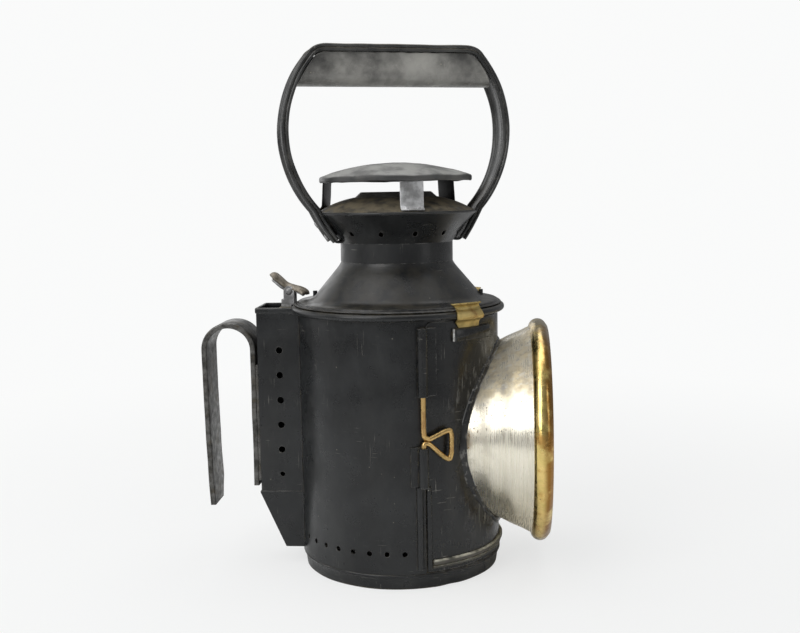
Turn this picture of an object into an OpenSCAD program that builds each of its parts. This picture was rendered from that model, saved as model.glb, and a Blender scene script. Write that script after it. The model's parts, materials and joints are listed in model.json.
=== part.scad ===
// Hooded hand lantern for a candle, with a turning chimney top, a hinged lens door and a belt hook.
// Millimetres. +X points out of the lens, +Z is up, and the origin is on the body's axis at its foot.
// An azimuth is counted in degrees from -Y towards +X, as seen from above.

/* [Body] */
// Outside radius of the sheet-metal body
body_r = 59; // [58.6:0.1:59.4]
// Height of the wired bead round the top of the body
bead_z = 152.9; // [152.6:0.1:153.2]
// Thickness of the body, door and roof sheet
sheet = 0.8; // [0.6:0.1:0.9]
// Radius of the foot where it stands
foot_r = 57.3; // [56.5:0.1:58]
// Diameter of the air holes round the foot
foot_hole_d = 3; // [2:0.1:4]

/* [Rear box] */
// Width of the air box on the back
box_w = 30; // [29:0.5:31]
// Distance from the body's axis to the back of the box
box_back = 82.5; // [82:0.1:83]
// Diameter of the box's side holes
box_hole_d = 4; // [3:0.1:5]
// Width of the belt hook's strap
hook_w = 25.4; // [22:0.1:27]
// Thickness of the belt hook's strap
hook_t = 3.2; // [2.8:0.1:3.4]

/* [Door and lens] */
// Height of the lens axis above the foot
lens_z = 79.1; // [78.9:0.1:79.4]
// Hood radius 40 mm in front of the body's axis
hood_r = 44; // [43.6:0.1:44.3]
// Hood radius gained for each millimetre forward
hood_slope = 0.448; // [0.445:0.001:0.45]
// Outside radius of the brass bezel
bezel_r = 65.4; // [65.1:0.1:65.7]
// Diameter of the hinge wire
wire_d = 3.2; // [3:0.05:3.2]
// Azimuth of the hinge wire
hinge_az = 16.5; // [16.3:0.1:16.7]

/* [Top] */
// Angle that the top stands turned from the lens
top_turn = 18.3; // [0:0.1:45]
// Radius of the neck sleeve
neck_r = 33; // [32.7:0.1:33.2]
// Radius of the flare's rim
rim_r = 47.3; // [47:0.1:47.5]
// Radius of the rain cap
cap_r = 44.5; // [43.5:0.1:45]
// Number of air holes round the flare
flare_holes = 12; // [6:1:14]

/* [Bail] */
// Width of the bail's strap
bail_w = 20; // [18:0.5:21]
// Outside height of the bail's flat top
bail_top = 303.5; // [302:0.1:305]
// Outside radius of the bail's side arcs
bail_arc_r = 68.5; // [68:0.1:69]

/* [Candle] */
// Outside diameter of the candle tube
tube_d = 24; // [23:0.5:26]
// Diameter of the candle
candle_d = 21; // [20:0.1:21.4]

/* [Hidden] */
$fn = 96;

foot_h = 8;                 // height of the foot band
shell_top = 152;            // top edge of the body's cylinder
in_r = body_r - sheet;      // inside radius of the body and door
bead_r = 2;                 // radius of the top bead's section
open_az = 17.9;             // azimuth where the body's door opening starts
open_z = [9.4, 150.2];      // bottom and top of the door opening
door_az = 18.8;             // azimuth of the door's near edge
door_z = [9.9, 149.8];      // bottom and top of the door
hinge_r = body_r + 3.2;     // distance of the hinge wire from the body's axis
wire_r = wire_d / 2;
knuckle_bore = wire_r + 0.05;
knuckle_r = 2.75;
upper_knuckle_z = [109.7, 147.1];
lower_knuckle_z = [59.2, 81.3];
edge_bead_z = [12, 58.6];   // span of the beads along the door's and the opening's edges
box_z = [44.2, 153.6];      // bottom and top of the rear box
hopper_z = 10.2;            // bottom of the hopper below the box
hole_pitch = 14.87;         // spacing of the box's side holes
hole_z = 129;               // height of the topmost side hole
hook_r = 13;                // inside radius of the hook's bend
leg_x = box_back + 1.5;     // front of the hook's inner leg
hook_cx = -(leg_x + hook_t + hook_r);
hook_cz = 128.8;            // height of the centre of the hook's bend
hook_legs = [34.6, 46.8];   // heights of the ends of the outer and the inner leg
hook_pins = [62, 86, 110];  // heights of the hook's rivets
hook_pin_r = 2;             // radius of the hook's rivets
lever_x = -64.3;            // pivot of the thumb lever
lever_z = 162.8;
hood_back = 25;             // where the hood's cone ends inside the body
hood_front = 80;            // where the hood's cone meets the bezel
bezel_x = 82.5;             // middle of the bezel
bezel_w = 10;               // width of the bezel's bead
bezel_deep = 4.6;           // depth of the bezel's bead on its outer side
seat_r = bezel_r - 5.1;     // seat of the glass in the bezel
glass_front = 90.4;         // crown of the glass
glass_sphere = 482;         // radius of the glass's front face
glass_t = 4.4;              // thickness of the glass at its middle
roof_z = 155.2;             // underside of the roof's rim
neck_z = [180.3, 191.4];    // span of the neck sleeve
rim_z = 208.6;              // height of the flare's rim
top_hole_r = 20.5;          // radius of the smoke opening
cap_z = 226.6;              // height of the cap's rim
cap_rise = 10.7;            // height of the cap's dome above its rim
bail_cz = 255;              // height of the centre of the bail's side arcs
bail_cs = -1.3;             // that centre's offset across the bail
bail_t = 2;                 // thickness of the bail's strap
bail_bead = 3.6;            // thickness of the wired edges
strap_w = 13.5;             // width of the cap's straps
tab_pins = [-3.4, 3.4];     // rivets across each strap's tab
foot_pins = [197.5, 205];   // heights of the rivets in each foot of the bail
grip_r = 8.2;               // outside radius of the grip's round bottom
grip_z = 289;               // height of that radius's centre
tube_z = [9, 58];           // span of the candle tube

// A point on a circle about the body's axis at an azimuth
function at(r, az) = [r * sin(az), -r * cos(az)];
// Hood radius at a distance x in front of the body's axis
function hood(x) = hood_r + hood_slope * (x - 40);
// Points of a circular arc
function arc(cx, cy, r, a1, a2, n = 12) = [for (i = [0:n]) let (a = a1 + (a2 - a1) * i / n)
    [cx + r * cos(a), cy + r * sin(a)]];
// Points of a three-point Bezier curve
function bend(a, b, c, n = 10) = [for (i = [0:n]) let (t = i / n)
    a * (1 - t) * (1 - t) + b * 2 * t * (1 - t) + c * t * t];
function flip(points) = [for (i = [len(points) - 1:-1:0]) points[i]];
function unit(v) = v / norm(v);
function left_of(v) = [-v[1], v[0]];
// Direction of a path at point i
function heading(p, i) = unit(p[min(i + 1, len(p) - 1)] - p[max(i - 1, 0)]);
// A path moved sideways by d
function beside(p, d) = [for (i = [0:len(p) - 1]) p[i] + left_of(heading(p, i)) * d];

// Turns a part made at +X to an azimuth
module face_az(az) rotate([0, 0, az - 90]) children();
// A curved plate between two radii, two heights and two azimuths
module arc_plate(r1, r2, z, az1, az2) {
    face_az(az1) rotate_extrude(angle = az2 - az1)
        translate([r1, z[0]]) square([r2 - r1, z[1] - z[0]]);
}
// A spun shell with a profile given outside and inside
module spun(outer, inner) rotate_extrude() polygon(concat(outer, flip(inner)));
// A wedge that holds everything between two azimuths
module sector(az1, az2, z) {
    translate([0, 0, z[0]]) linear_extrude(z[1] - z[0])
        polygon(concat([[0, 0]], [for (i = [0:4]) at(90, az1 + (az2 - az1) * i / 4)]));
}
// Turns a part made along +Z to lie along +X at the lens axis
module on_lens() translate([0, 0, lens_z]) rotate([0, 90, 0]) children();
// A round bar from p to q that runs on a little past both
module rod(p, q, r) {
    d = q - p;
    translate(p) rotate([0, acos(d[2] / norm(d)), atan2(d[1], d[0])]) translate([0, 0, -r * 0.45])
        cylinder(r = r, h = norm(d) + r * 0.9, $fn = 32);
}
// A tube standing on the plane z = 0
module pipe(r1, r2, h) difference() {
    cylinder(r = r2, h = h);
    translate([0, 0, -1]) cylinder(r = r1, h = h + 2);
}
module near_and_far() {
    children();
    mirror([0, 1, 0]) children();
}
// Places a part on the hinge line, with +X along the door and +Y away from the body's axis
module on_hinge() translate(concat(at(hinge_r, hinge_az), [0])) rotate([0, 0, hinge_az]) mirror([0, 1, 0])
    children();
module on_top() rotate([0, 0, top_turn]) children();

// ---- Body ----

module base_pan() color("#2b2d2f") {
    spun([[foot_r, 0], [foot_r + 0.3, 0.6], [body_r, foot_h]],
        [[foot_r - 1, 0], [foot_r - 0.7, 0.6], [body_r - 1, foot_h]]);
    cylinder(r = foot_r - 0.5, h = sheet);
}

module floor_plate() color("#3a3b3b") translate([0, 0, foot_h]) cylinder(r = in_r - 0.1, h = sheet);

module body_shell() color("#303234") difference() {
    translate([0, 0, foot_h]) pipe(in_r, body_r, shell_top - foot_h);
    sector(open_az, 180 - open_az, open_z);
    near_and_far() for (k = [0:7]) face_az(6.2 - 9.76 * k)
        translate([body_r - 4, 0, 20.8]) rotate([0, 90, 0]) cylinder(d = foot_hole_d, h = 8, $fn = 24);
    for (z = [26, 38]) for (side = [-1, 1]) translate([-body_r - 3, side * 6.5, z])
        rotate([0, 90, 0]) cylinder(r = 4, h = 8, $fn = 32);
}

// Inner frame that the closed door rests against
module opening_frame() color("#2a2b2c") difference() {
    arc_plate(in_r - 1, in_r - 0.3, [8.9, 151], 14, 166);
    sector(24, 156, [14, 145]);
}

// An upright bead of radius r at an azimuth, standing on the body's face
module edge_bead(az, r, rise) near_and_far() difference() {
    face_az(az) translate([body_r + rise, 0, edge_bead_z[0]])
        cylinder(r = r, h = edge_bead_z[1] - edge_bead_z[0], $fn = 32);
    cylinder(r = body_r, h = shell_top);
}
module body_edge_beads() color("#343638") edge_bead(hinge_az - 1.85, 1.9, 0.4);

module top_bead() color("#2c2e30") translate([0, 0, bead_z]) rotate_extrude()
    translate([body_r + bead_r - 0.1, 0]) circle(r = bead_r, $fn = 32);

// The room that the top bead takes
module bead_room() translate([0, 0, bead_z - bead_r - 0.05])
    cylinder(r = body_r + 2 * bead_r, h = 2 * bead_r + 0.1);

module rear_box() color("#313335") difference() {
    union() {
        translate([-box_back, -box_w / 2, box_z[0]])
            cube([box_back - 50, box_w, box_z[1] - box_z[0]]);
        translate([-box_back - 0.4, -box_w / 2 - 0.4, box_z[1] - 2.4])
            cube([box_back - 50, box_w + 0.8, 2.9]);
    }
    translate([1 - box_back, 1 - box_w / 2, box_z[0] - 1]) cube([box_back, box_w - 2, 120]);
    translate([0, 0, box_z[0] - 1]) cylinder(r = body_r, h = 120);
    bead_room();
    for (k = [0:5]) translate([-69.2, -20, hole_z - hole_pitch * k]) rotate([-90, 0, 0])
        cylinder(d = k == 5 ? box_hole_d - 1 : box_hole_d, h = 40, $fn = 32);
}

module hopper_side(grow, top, foot) polygon([[-box_back - grow, top], [-box_back - grow, box_z[0] - 1],
    [-67.8 - grow, foot], [-50, foot], [-50, top]]);
module box_hopper() color("#2f3133") difference() {
    translate([0, box_w / 2 + 0.4, 0]) rotate([90, 0, 0]) linear_extrude(box_w + 0.8)
        hopper_side(0.4, box_z[0], hopper_z);
    translate([0, box_w / 2 - 0.6, 0]) rotate([90, 0, 0]) linear_extrude(box_w - 1.2)
        hopper_side(-0.6, box_z[0] + 1, hopper_z + 1);
    cylinder(r = body_r, h = 60);
}

module box_top_plate() color("#8a8468") difference() {
    translate([-69.6, 1 - box_w / 2, box_z[1] - 1]) cube([14, box_w - 2, 1]);
    cylinder(r = body_r + 4, h = 170);
}

// ---- Belt hook ----

module hook_backplate() color("#3a3a36") difference() {
    translate([-leg_x, -hook_w / 2, 50]) cube([1.5, hook_w, 70]);
    rivet_holes();
}
module rivet_holes() for (z = hook_pins) translate([-leg_x - 8, 0, z]) rotate([0, 90, 0])
    cylinder(r = hook_pin_r, h = 16, $fn = 32);
// A strap bent over into a hook, with one corner of its outer leg cut at a slant
module belt_hook() color("#4a4a46") difference() {
    translate([0, hook_w / 2, 0]) rotate([90, 0, 0]) linear_extrude(hook_w)
        polygon(concat([[-leg_x - hook_t, hook_legs[1]], [-leg_x, hook_legs[1]]],
            arc(hook_cx, hook_cz, hook_r + hook_t, 0, 180, 32),
            [[hook_cx - hook_r - hook_t + 2.2, hook_legs[0]], [hook_cx - hook_r + 2.2, hook_legs[0]]],
            arc(hook_cx, hook_cz, hook_r, 180, 0, 32)));
    translate([hook_cx - 24, hook_w / 2, hook_legs[0] + 10]) rotate([22, 0, 0]) translate([0, -40, -20])
        cube([16, 80, 16]);
    rivet_holes();
}
module hook_rivets() color("#3c3c3a") for (z = hook_pins) {
    translate([-leg_x - hook_t, 0, z]) rotate([0, 90, 0])
        cylinder(r = hook_pin_r, h = leg_x + hook_t - box_back, $fn = 32);
    translate([-leg_x - hook_t, 0, z]) rotate([0, -90, 0])
        cylinder(r1 = 3.6, r2 = hook_pin_r, h = 1.2, $fn = 32);
    translate([1 - box_back, 0, z]) rotate([0, 90, 0]) cylinder(r = 3, h = 1, $fn = 32);
}

// ---- Thumb latch ----

module on_pivot(y) translate([lever_x, y, lever_z]) rotate([-90, 0, 0]) children();
module latch_bracket() color("#3b3a36") difference() {
    union() {
        for (y = [-4.7, 3.2]) {
            on_pivot(y) cylinder(r = 3.2, h = 1.5, $fn = 48);
            translate([lever_x - 3.2, y, box_z[1]]) cube([6.4, 1.5, lever_z - box_z[1]]);
        }
        translate([lever_x - 4.6, -5.5, box_z[1]]) cube([8, 11, 1.2]);
        translate([lever_x - 4.6, -4.7, box_z[1]]) cube([1.4, 9.4, 4.4]);
    }
    on_pivot(-8) cylinder(r = 1.5, h = 16, $fn = 48);
    bead_room();
    cylinder(r = body_r + 1.2, h = 170);
}
module latch_pin() color("#77736a") {
    on_pivot(-5.6) cylinder(r = 1.5, h = 11.2, $fn = 48);
    on_pivot(-6.1) cylinder(r = 2.2, h = 1.4, $fn = 48);
    on_pivot(4.7) cylinder(r = 2.2, h = 1.4, $fn = 48);
}
module latch_spring() color("#8d8f90") for (y = [-2.75, 2.75]) translate([lever_x, y, lever_z])
    rotate([90, 0, 0]) rotate_extrude() translate([2.1, 0]) circle(r = 0.4, $fn = 24);

// Side outline of the thumb lever, seen from the near side with its pivot at the origin
module lever_side() {
    translate([-9.1, 9]) circle(r = 2.6, $fn = 48);
    translate([8.7, -1.3]) circle(r = 1.9, $fn = 48);
    polygon([[-10.9, 7.1], [-7.2, 10.8], [-4, 6.9], [-0.9, 3.9], [3.6, 2.3], [9.2, 0.6], [8.4, -3.2],
        [4.3, -2.6], [0, -0.4], [-3.4, 1.2], [-6.6, 4.4]]);
}
module thumb_lever() color("#8c8375") difference() {
    translate([lever_x, 0, lever_z]) {
        difference() {
            translate([0, 6.5, 0]) rotate([90, 0, 0]) linear_extrude(13) lever_side();
            for (y = [-8, 2.3]) translate([0, y, 0]) rotate([-90, 0, 0]) cylinder(r = 4.2, h = 5.7, $fn = 48);
        }
        translate([0, -2.3, 0]) rotate([-90, 0, 0]) cylinder(r = 3.1, h = 4.6, $fn = 48);
    }
    on_pivot(-9) cylinder(r = 1.55, h = 18, $fn = 48);
}

// ---- Hinge ----

// Plan of a curved leaf between two radii and two azimuths
module leaf_plan(r1, r2, az1, az2) polygon(concat(arc(0, 0, r2, az1 - 90, az2 - 90),
    flip(arc(0, 0, r1, az1 - 90, az2 - 90))));
module knuckle(z) translate([0, 0, z[0]]) linear_extrude(z[1] - z[0]) difference() {
    union() {
        translate(at(hinge_r, hinge_az)) circle(r = knuckle_r, $fn = 48);
        children();
    }
    translate(at(hinge_r, hinge_az)) circle(r = knuckle_bore, $fn = 48);
}
module lower_knuckle() color("#35373a") knuckle(lower_knuckle_z)
    leaf_plan(body_r, body_r + 1.1, 10, hinge_az - 0.7);
module upper_knuckle() color("#35373a") knuckle(upper_knuckle_z) {
    leaf_plan(body_r + 0.35, body_r + 1.3, hinge_az + 0.7, 24.4);
    leaf_plan(body_r, body_r + 0.6, door_az + 0.1, 24.4);
}
// The wire runs down the hinge, out into a finger loop, and on down into the lower knuckle
module hinge_pin() color("#b58a3c") {
    p = [[0, 122], [0, 88.9], [2.4, 86.3], [13.8, 90.2], [16, 88], [15.6, 75.6], [13.4, 73.9],
        [2, 85], [0, 83.8], [0, 63.6]];
    on_hinge() rotate([0, 0, 6]) for (i = [0:len(p) - 2])
        rod([p[i][0], 0, p[i][1]], [p[i + 1][0], 0, p[i + 1][1]], wire_r);
}

// ---- Door ----

module hood_solid(grow) on_lens() translate([0, 0, hood_back]) cylinder(r1 = hood(hood_back) + grow,
    r2 = hood(hood_front) + grow, h = hood_front - hood_back);
module door_panel() color("#2e3032") difference() {
    arc_plate(in_r, body_r, door_z, door_az, 180 - door_az);
    hood_solid(0);
    near_and_far() translate(concat(at(body_r, 21), [door_z[1] - 4])) rotate([0, 0, 21]) rotate([90, 0, 0])
        translate([0, 0, -6]) difference() {
            translate([-6, 0, 0]) cube([6, 8, 12]);
            translate([2, 0, 0]) cylinder(r = 4, h = 12);
        }
}
module door_edge_beads() color("#343638") edge_bead(door_az + 0.75, 1.5, 0.6);
module door_ledge() color("#5d573f") difference() {
    face_az(24) rotate_extrude(angle = 132) translate([body_r, 15.3]) circle(r = 1.5, $fn = 32);
    translate([0, 0, 10]) cylinder(r = body_r, h = 12);
    hood_solid(0);
}

module clip_bracket() arc_plate(body_r, body_r + 2.3, [138.6, 145.6], 35, 63);
module clip_brackets() color("#1f2123") near_and_far() difference() {
    clip_bracket();
    hood_solid(2);
}
// Spring clip that snaps over the body's bead and flares out at its top
module spring_clip(az1, az2) {
    face = [[body_r, 145.9], [body_r, 148.6], [body_r + 1.6, 149.6], [body_r + 3.6, 150.4],
        [body_r + 4.5, 151.7], [body_r + 4.5, 153.4], [body_r + 3.9, 154.8], [body_r + 2.9, 155.9],
        [body_r + 2.7, 157], [body_r + 3.6, 158.4], [body_r + 5.2, 159.3]];
    face_az(az1) rotate_extrude(angle = az2 - az1) polygon(concat(face, flip(beside(face, -0.8))));
}
module near_clip() color("#a5803a") spring_clip(36.5, 53);
module far_clip() color("#a5803a") mirror([0, 1, 0]) spring_clip(36.5, 53);

module hood_cone() color("#c9c3b2") on_lens() spun(
    [[hood(hood_back), hood_back], [hood(hood_front), hood_front]],
    [[hood(hood_back) - 0.9, hood_back], [hood(hood_front) - 0.9, hood_front]]);
// Solder worked into the corner between the hood and the door
module hood_collar() color("#56585a") difference() {
    arc_plate(body_r, body_r + 1, door_z, 30, 150);
    difference() {
        arc_plate(body_r - 5, body_r + 5, [0, 160], 20, 160);
        hood_solid(4.2);
    }
    hood_solid(0);
}
module bezel_ring() color("#b28a3e") on_lens() difference() {
    rotate_extrude() translate([bezel_r - bezel_deep, bezel_x])
        polygon([for (i = [0:47]) let (a = i * 7.5) [bezel_deep * cos(a), bezel_w / 2 * sin(a)]]);
    translate([0, 0, hood_front]) cylinder(r = seat_r, h = 3 * bezel_w);
    translate([0, 0, hood_front - 20]) cylinder(r1 = hood(hood_front - 20), r2 = hood(hood_front), h = 20);
}
module lens_glass() color([0.72, 0.86, 0.82, 0.4]) on_lens() difference() {
    intersection() {
        translate([0, 0, hood_front + 2.3]) cylinder(r = seat_r - 0.1, h = 12);
        translate([0, 0, glass_front - glass_sphere]) sphere(r = glass_sphere, $fn = 180);
    }
    translate([0, 0, glass_front - glass_t - glass_sphere + 2]) sphere(r = glass_sphere - 2, $fn = 180);
}
module lens_retainer() color("#6a6d6c") on_lens() translate([0, 0, hood_front + 0.05])
    pipe(seat_r - 3, seat_r - 0.4, 2);

// ---- Candle and reflector ----

module candle_tube() color("#8f8c84") translate([0, 0, foot_h + sheet]) {
    pipe(tube_d / 2 - 0.6, tube_d / 2, tube_z[1] - tube_z[0]);
    cylinder(r = tube_d / 2, h = sheet);
}
module tube_cap() color("#a9853f") {
    translate([0, 0, tube_z[1] - 10]) pipe(tube_d / 2, tube_d / 2 + 0.8, 11);
    translate([0, 0, tube_z[1]]) spun([[tube_d / 2 + 0.8, 0.9], [tube_d / 2 - 2, 5.2]],
        [[tube_d / 2, 0.1], [tube_d / 2 - 3, 4.8]]);
}
module feed_spring() color("#7d7f80") for (k = [0:9]) translate([0, 0, tube_z[0] + 2.2 + k * 2.4])
    rotate_extrude() translate([8, 0]) circle(r = 0.7, $fn = 16);
module spring_follower() color("#9b8b5a") translate([0, 0, tube_z[0] + 26]) cylinder(r = candle_d / 2, h = 2);
module candle() color("#e9e2c9") {
    translate([0, 0, tube_z[0] + 28]) cylinder(d = candle_d, h = tube_z[1] - tube_z[0] - 28);
    translate([0, 0, tube_z[1]]) cylinder(d1 = candle_d - 3.6, d2 = 11, h = 8);
}
module wick() color("#3b342b") translate([0, 0, tube_z[1] + 8]) cylinder(r = 0.9, h = 7, $fn = 24);
module drip_pan() color("#8c8a80") translate([0, 0, foot_h + sheet]) {
    pipe(tube_d / 2, 22, sheet);
    spun([[22, 0], [25, 6]], [[21.2, sheet], [24.2, 6]]);
}
// Spun dish behind the flame, opening towards the lens
module rear_reflector() color("#d2d0c6") on_lens() spun(
    [for (i = [0:12]) let (r = 34 * i / 12) [r, -46 + 22 * pow(r / 34, 2)]],
    [for (i = [0:12]) let (r = 34 * i / 12) [r, -45 + 21.6 * pow(r / 34, 2)]]);
module reflector_bracket() color("#77756c") {
    on_lens() translate([0, 0, -in_r + 0.3]) cylinder(r = 4, h = in_r - 46.3, $fn = 48);
    arc_plate(in_r - 1.2, in_r, [lens_z - 12, lens_z + 12], -100, -80);
}

// ---- Top ----

module roof_cone() color("#2d2f31") spun(
    concat([[in_r - 0.3, 151.6], [in_r - 0.3, roof_z], [body_r + 1.4, roof_z], [body_r + 2, roof_z + 0.5],
        [body_r + 1.4, roof_z + 1.1], [body_r + 0.3, roof_z + 1.2], [body_r + 0.1, 157.1], [58.4, 157.5]],
        bend([52.6, 158.2], [50.3, 158.6], [48.6, 160.6]),
        bend([37, 174.4], [33.6, 178.2], [neck_r - 0.2, neck_z[0]], 6),
        [[neck_r - sheet, neck_z[0]], [neck_r - sheet, neck_z[1] - 2]]),
    concat([[in_r - 1.1, 151.6], [in_r - 1.1, 156.4]],
        bend([52.2, 157.3], [50, 157.8], [48, 160]),
        bend([36.4, 173.8], [32.6, 178], [neck_r - 1.6, neck_z[0]], 6),
        [[neck_r - 1.6, neck_z[1] - 3], [neck_r - 1.6, neck_z[1] - 2]]));
module roof_studs() color("#36383a") difference() {
    on_top() for (az = [71.7, 251.7]) face_az(az) translate([49.2, 0, 159.3])
        cylinder(r = 1.3, h = 3.3, $fn = 32);
    roof_cone();
}
module neck_sleeve() color("#2b2d2f") translate([0, 0, neck_z[0]])
    pipe(neck_r - sheet, neck_r, neck_z[1] - neck_z[0]);
// Outline of the flare from the neck to its rim, slightly hollow
flare_line = bend([neck_r, neck_z[1]], [38.4, 200.2], [rim_r - 0.3, rim_z - 0.3], 12);
module flare_rim() translate([0, 0, rim_z]) rotate_extrude() translate([rim_r - 0.9, 0])
    circle(r = 0.9, $fn = 24);
module chimney_flare() color("#2c2e30") difference() {
    union() {
        spun(flare_line, beside(flare_line, sheet));
        flare_rim();
    }
    for (k = [0:flare_holes - 1]) face_az(21 + k * 360 / flare_holes)
        translate([30, 0, 197]) rotate([0, 90, 0]) cylinder(r = 1.4, h = 15, $fn = 24);
    bail_pins(1.55);
}
// Everything inside the flare's outer face
module flare_room() {
    rotate_extrude() polygon(concat([[0, neck_z[1] - 12], [neck_r, neck_z[1] - 12]], flare_line,
        [[0, rim_z]]));
    flare_rim();
}
// Outline of the cover over the flare, from its rim in to the inner chimney
cover_line = bend([rim_r - 2, rim_z + 0.9], [36, 215.4], [24.4, 217.4]);
module chimney_top() color("#5a5446") spun(cover_line,
    bend([rim_r - 2.1, rim_z], [36, 214.5], [24.4, 216.6]));
// Everything below the cover's upper face
module cover_room() {
    rotate_extrude() polygon(concat([[0, 200], [rim_r - 2, 200]], cover_line, [[0, 217.4]]));
    flare_rim();
}
module inner_chimney() color("#3c3a34") {
    translate([0, 0, 183]) pipe(23.5, 24.3, 34.2);
    translate([0, 0, 217.2]) spun([[24.3, 0], [top_hole_r + 0.4, 3], [top_hole_r, 3.2]],
        [[23.5, 0], [top_hole_r - 0.5, 2.8], [top_hole_r - 0.5, 3.2]]);
    for (k = [0:3]) rotate([0, 0, 45 + 90 * k]) translate([24, -3, 184]) cube([neck_r - 25.8, 6, sheet]);
}

cap_sphere = (cap_r * cap_r + cap_rise * cap_rise) / (2 * cap_rise);
cap_edge = asin(cap_r / cap_sphere);
// Height of the dome's underside at radius r
function cap_under(r) = cap_z + cap_rise - cap_sphere + sqrt(pow(cap_sphere - 1, 2) - r * r);
module cap_dome() color("#4a4a48") translate([0, 0, cap_z + cap_rise - cap_sphere]) {
    spun(arc(0, 0, cap_sphere, 90, 90 - cap_edge, 16), arc(0, 0, cap_sphere - 1, 90, 90 - cap_edge, 16));
    translate([0, 0, cap_sphere - cap_rise]) rotate_extrude() translate([cap_r - 0.9, -0.2])
        circle(r = 1.25, $fn = 24);
}
// Height just under the dome for a strap's tab that reaches out to r
function tab_top(r) = cap_under(norm([r, strap_w / 2])) - 0.1;
// A strap that carries the cap: a foot on the cover, a leaning upright and a tab under the dome
module cap_strap(az) difference() {
    face_az(az) rotate([90, 0, 0]) translate([0, 0, -strap_w / 2]) linear_extrude(strap_w)
        polygon([[42.2, 211], [45.6, 209.4], [45.6, 210.4], [43.8, 212.4], [41.7, 225.4],
            [41, tab_top(41)], [36, tab_top(36)], [36, tab_top(36) - 0.9], [40.2, 225.8], [42.6, 212.4]]);
    cover_room();
    cap_pins(1.45);
}
module cap_strap_front() color("#6b6b69") cap_strap(top_turn);
module cap_strap_left() color("#2b2c2d") cap_strap(top_turn - 120);
module cap_strap_right() color("#2b2c2d") cap_strap(top_turn + 120);
// Shafts of the rivets through the straps' tabs
module cap_pins(r) for (k = [0:2]) face_az(top_turn + 120 * k) for (y = tab_pins)
    translate([39, y, 225.6]) cylinder(r = r, h = 5, $fn = 32);
// The rivets end just under the dome
module cap_rivets() color("#55554f") intersection() {
    cap_pins(1.4);
    rotate_extrude() polygon([[30, 220], [42, 220], [42, cap_under(42) - 0.1], [39, cap_under(39) - 0.1],
        [36, cap_under(36) - 0.1], [30, cap_under(30) - 0.1]]);
}

// Centre line of half the bail, from the foot up to the flat top
bail_mid = bail_arc_r - 1.8;
bail_low = -41.6;
bail_high = asin((bail_top - 1.8 - bail_cz) / bail_mid);
bail_half = concat([[38.4, 193.2]], arc(bail_cs, bail_cz, bail_mid, bail_low, bail_high - 6, 24),
    bend([bail_cs + bail_mid * cos(bail_high - 4), bail_cz + bail_mid * sin(bail_high - 4)],
        [bail_cs + bail_mid * cos(bail_high) + 0.6, bail_top - 1.9],
        [bail_cs + bail_mid * cos(bail_high) - 6, bail_top - 1.8], 6));
bail_line = concat(bail_half, [for (p = flip(bail_half)) [-p[0], p[1]]]);
// A band along the bail's line, between two distances across it
module bail_band(t, y1, y2) on_top() translate([0, y2, 0]) rotate([90, 0, 0]) linear_extrude(y2 - y1)
    polygon(concat(beside(bail_line, t / 2), flip(beside(bail_line, -t / 2))));
module bail_strap() color("#2f3133") difference() {
    bail_band(bail_t, 3.4 - bail_w / 2, bail_w / 2 - 3.4);
    flare_room();
    bail_pins(1.55);
}
module bail_edge_wires() color("#3f4246") difference() {
    for (s = [-1, 1]) {
        y = s * (bail_w / 2 - 1.7);
        bail_band(bail_bead, y - 1, y + 1);
        bail_band(bail_bead - 1.4, y - 1.7, y + 1.7);
    }
    flare_room();
}
module bail_feet() color("#2f3133") difference() {
    on_top() for (side = [0, 180]) rotate([0, 0, side]) translate([0, 6, 0]) rotate([90, 0, 0])
        linear_extrude(12) polygon([[33.2, 190.6], [38, 191.4], [37.4, 192.9], [33.6, 192.4]]);
    flare_room();
}
// Places a part square to the flare's face at each of the bail's rivets
module on_bail_pins() on_top() for (side = [0, 180]) rotate([0, 0, side]) for (z = foot_pins)
    translate([(z - 148.5) * 0.76, 0, z]) rotate([0, 125, 0]) children();
module bail_pins(r) on_bail_pins() cylinder(r = r, h = 6, $fn = 32);
module bail_rivets() color("#55554f") {
    bail_pins(1.5);
    on_bail_pins() translate([0, 0, 5.4]) cylinder(r1 = 2.8, r2 = 1.6, h = 1.2, $fn = 32);
}
// Outline of the grip's gutter, with a round bottom and straight sides
module gutter(r, top) {
    translate([0, grip_z]) circle(r = r);
    translate([-r, grip_z]) square([2 * r, top]);
}
// Folded sheet under the bail's top, open upwards like a gutter
module grip_shell() color("#26282a") on_top() intersection() {
    rotate([90, 0, 90]) translate([0, 0, -60]) linear_extrude(120) difference() {
        gutter(grip_r, 8.6);
        gutter(grip_r - 1, 10);
    }
    translate([0, 12, 0]) rotate([90, 0, 0]) linear_extrude(24)
        polygon([for (p = beside(bail_line, bail_bead / 2)) if (p[1] > 270) p]);
}

base_pan();
floor_plate();
body_shell();
opening_frame();
body_edge_beads();
top_bead();
rear_box();
box_hopper();
box_top_plate();
hook_backplate();
belt_hook();
hook_rivets();
latch_bracket();
latch_pin();
latch_spring();
lower_knuckle();
candle_tube();
tube_cap();
feed_spring();
spring_follower();
candle();
wick();
drip_pan();
rear_reflector();
reflector_bracket();
door_panel();
door_edge_beads();
door_ledge();
upper_knuckle();
clip_brackets();
near_clip();
far_clip();
hood_cone();
hood_collar();
bezel_ring();
lens_glass();
lens_retainer();
hinge_pin();
thumb_lever();
roof_cone();
roof_studs();
neck_sleeve();
chimney_flare();
chimney_top();
inner_chimney();
cap_dome();
cap_strap_front();
cap_strap_left();
cap_strap_right();
cap_rivets();
bail_strap();
bail_edge_wires();
bail_feet();
bail_rivets();
grip_shell();
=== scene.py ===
import json
import math

import bmesh
import bpy
from mathutils import Euler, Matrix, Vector, noise

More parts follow.
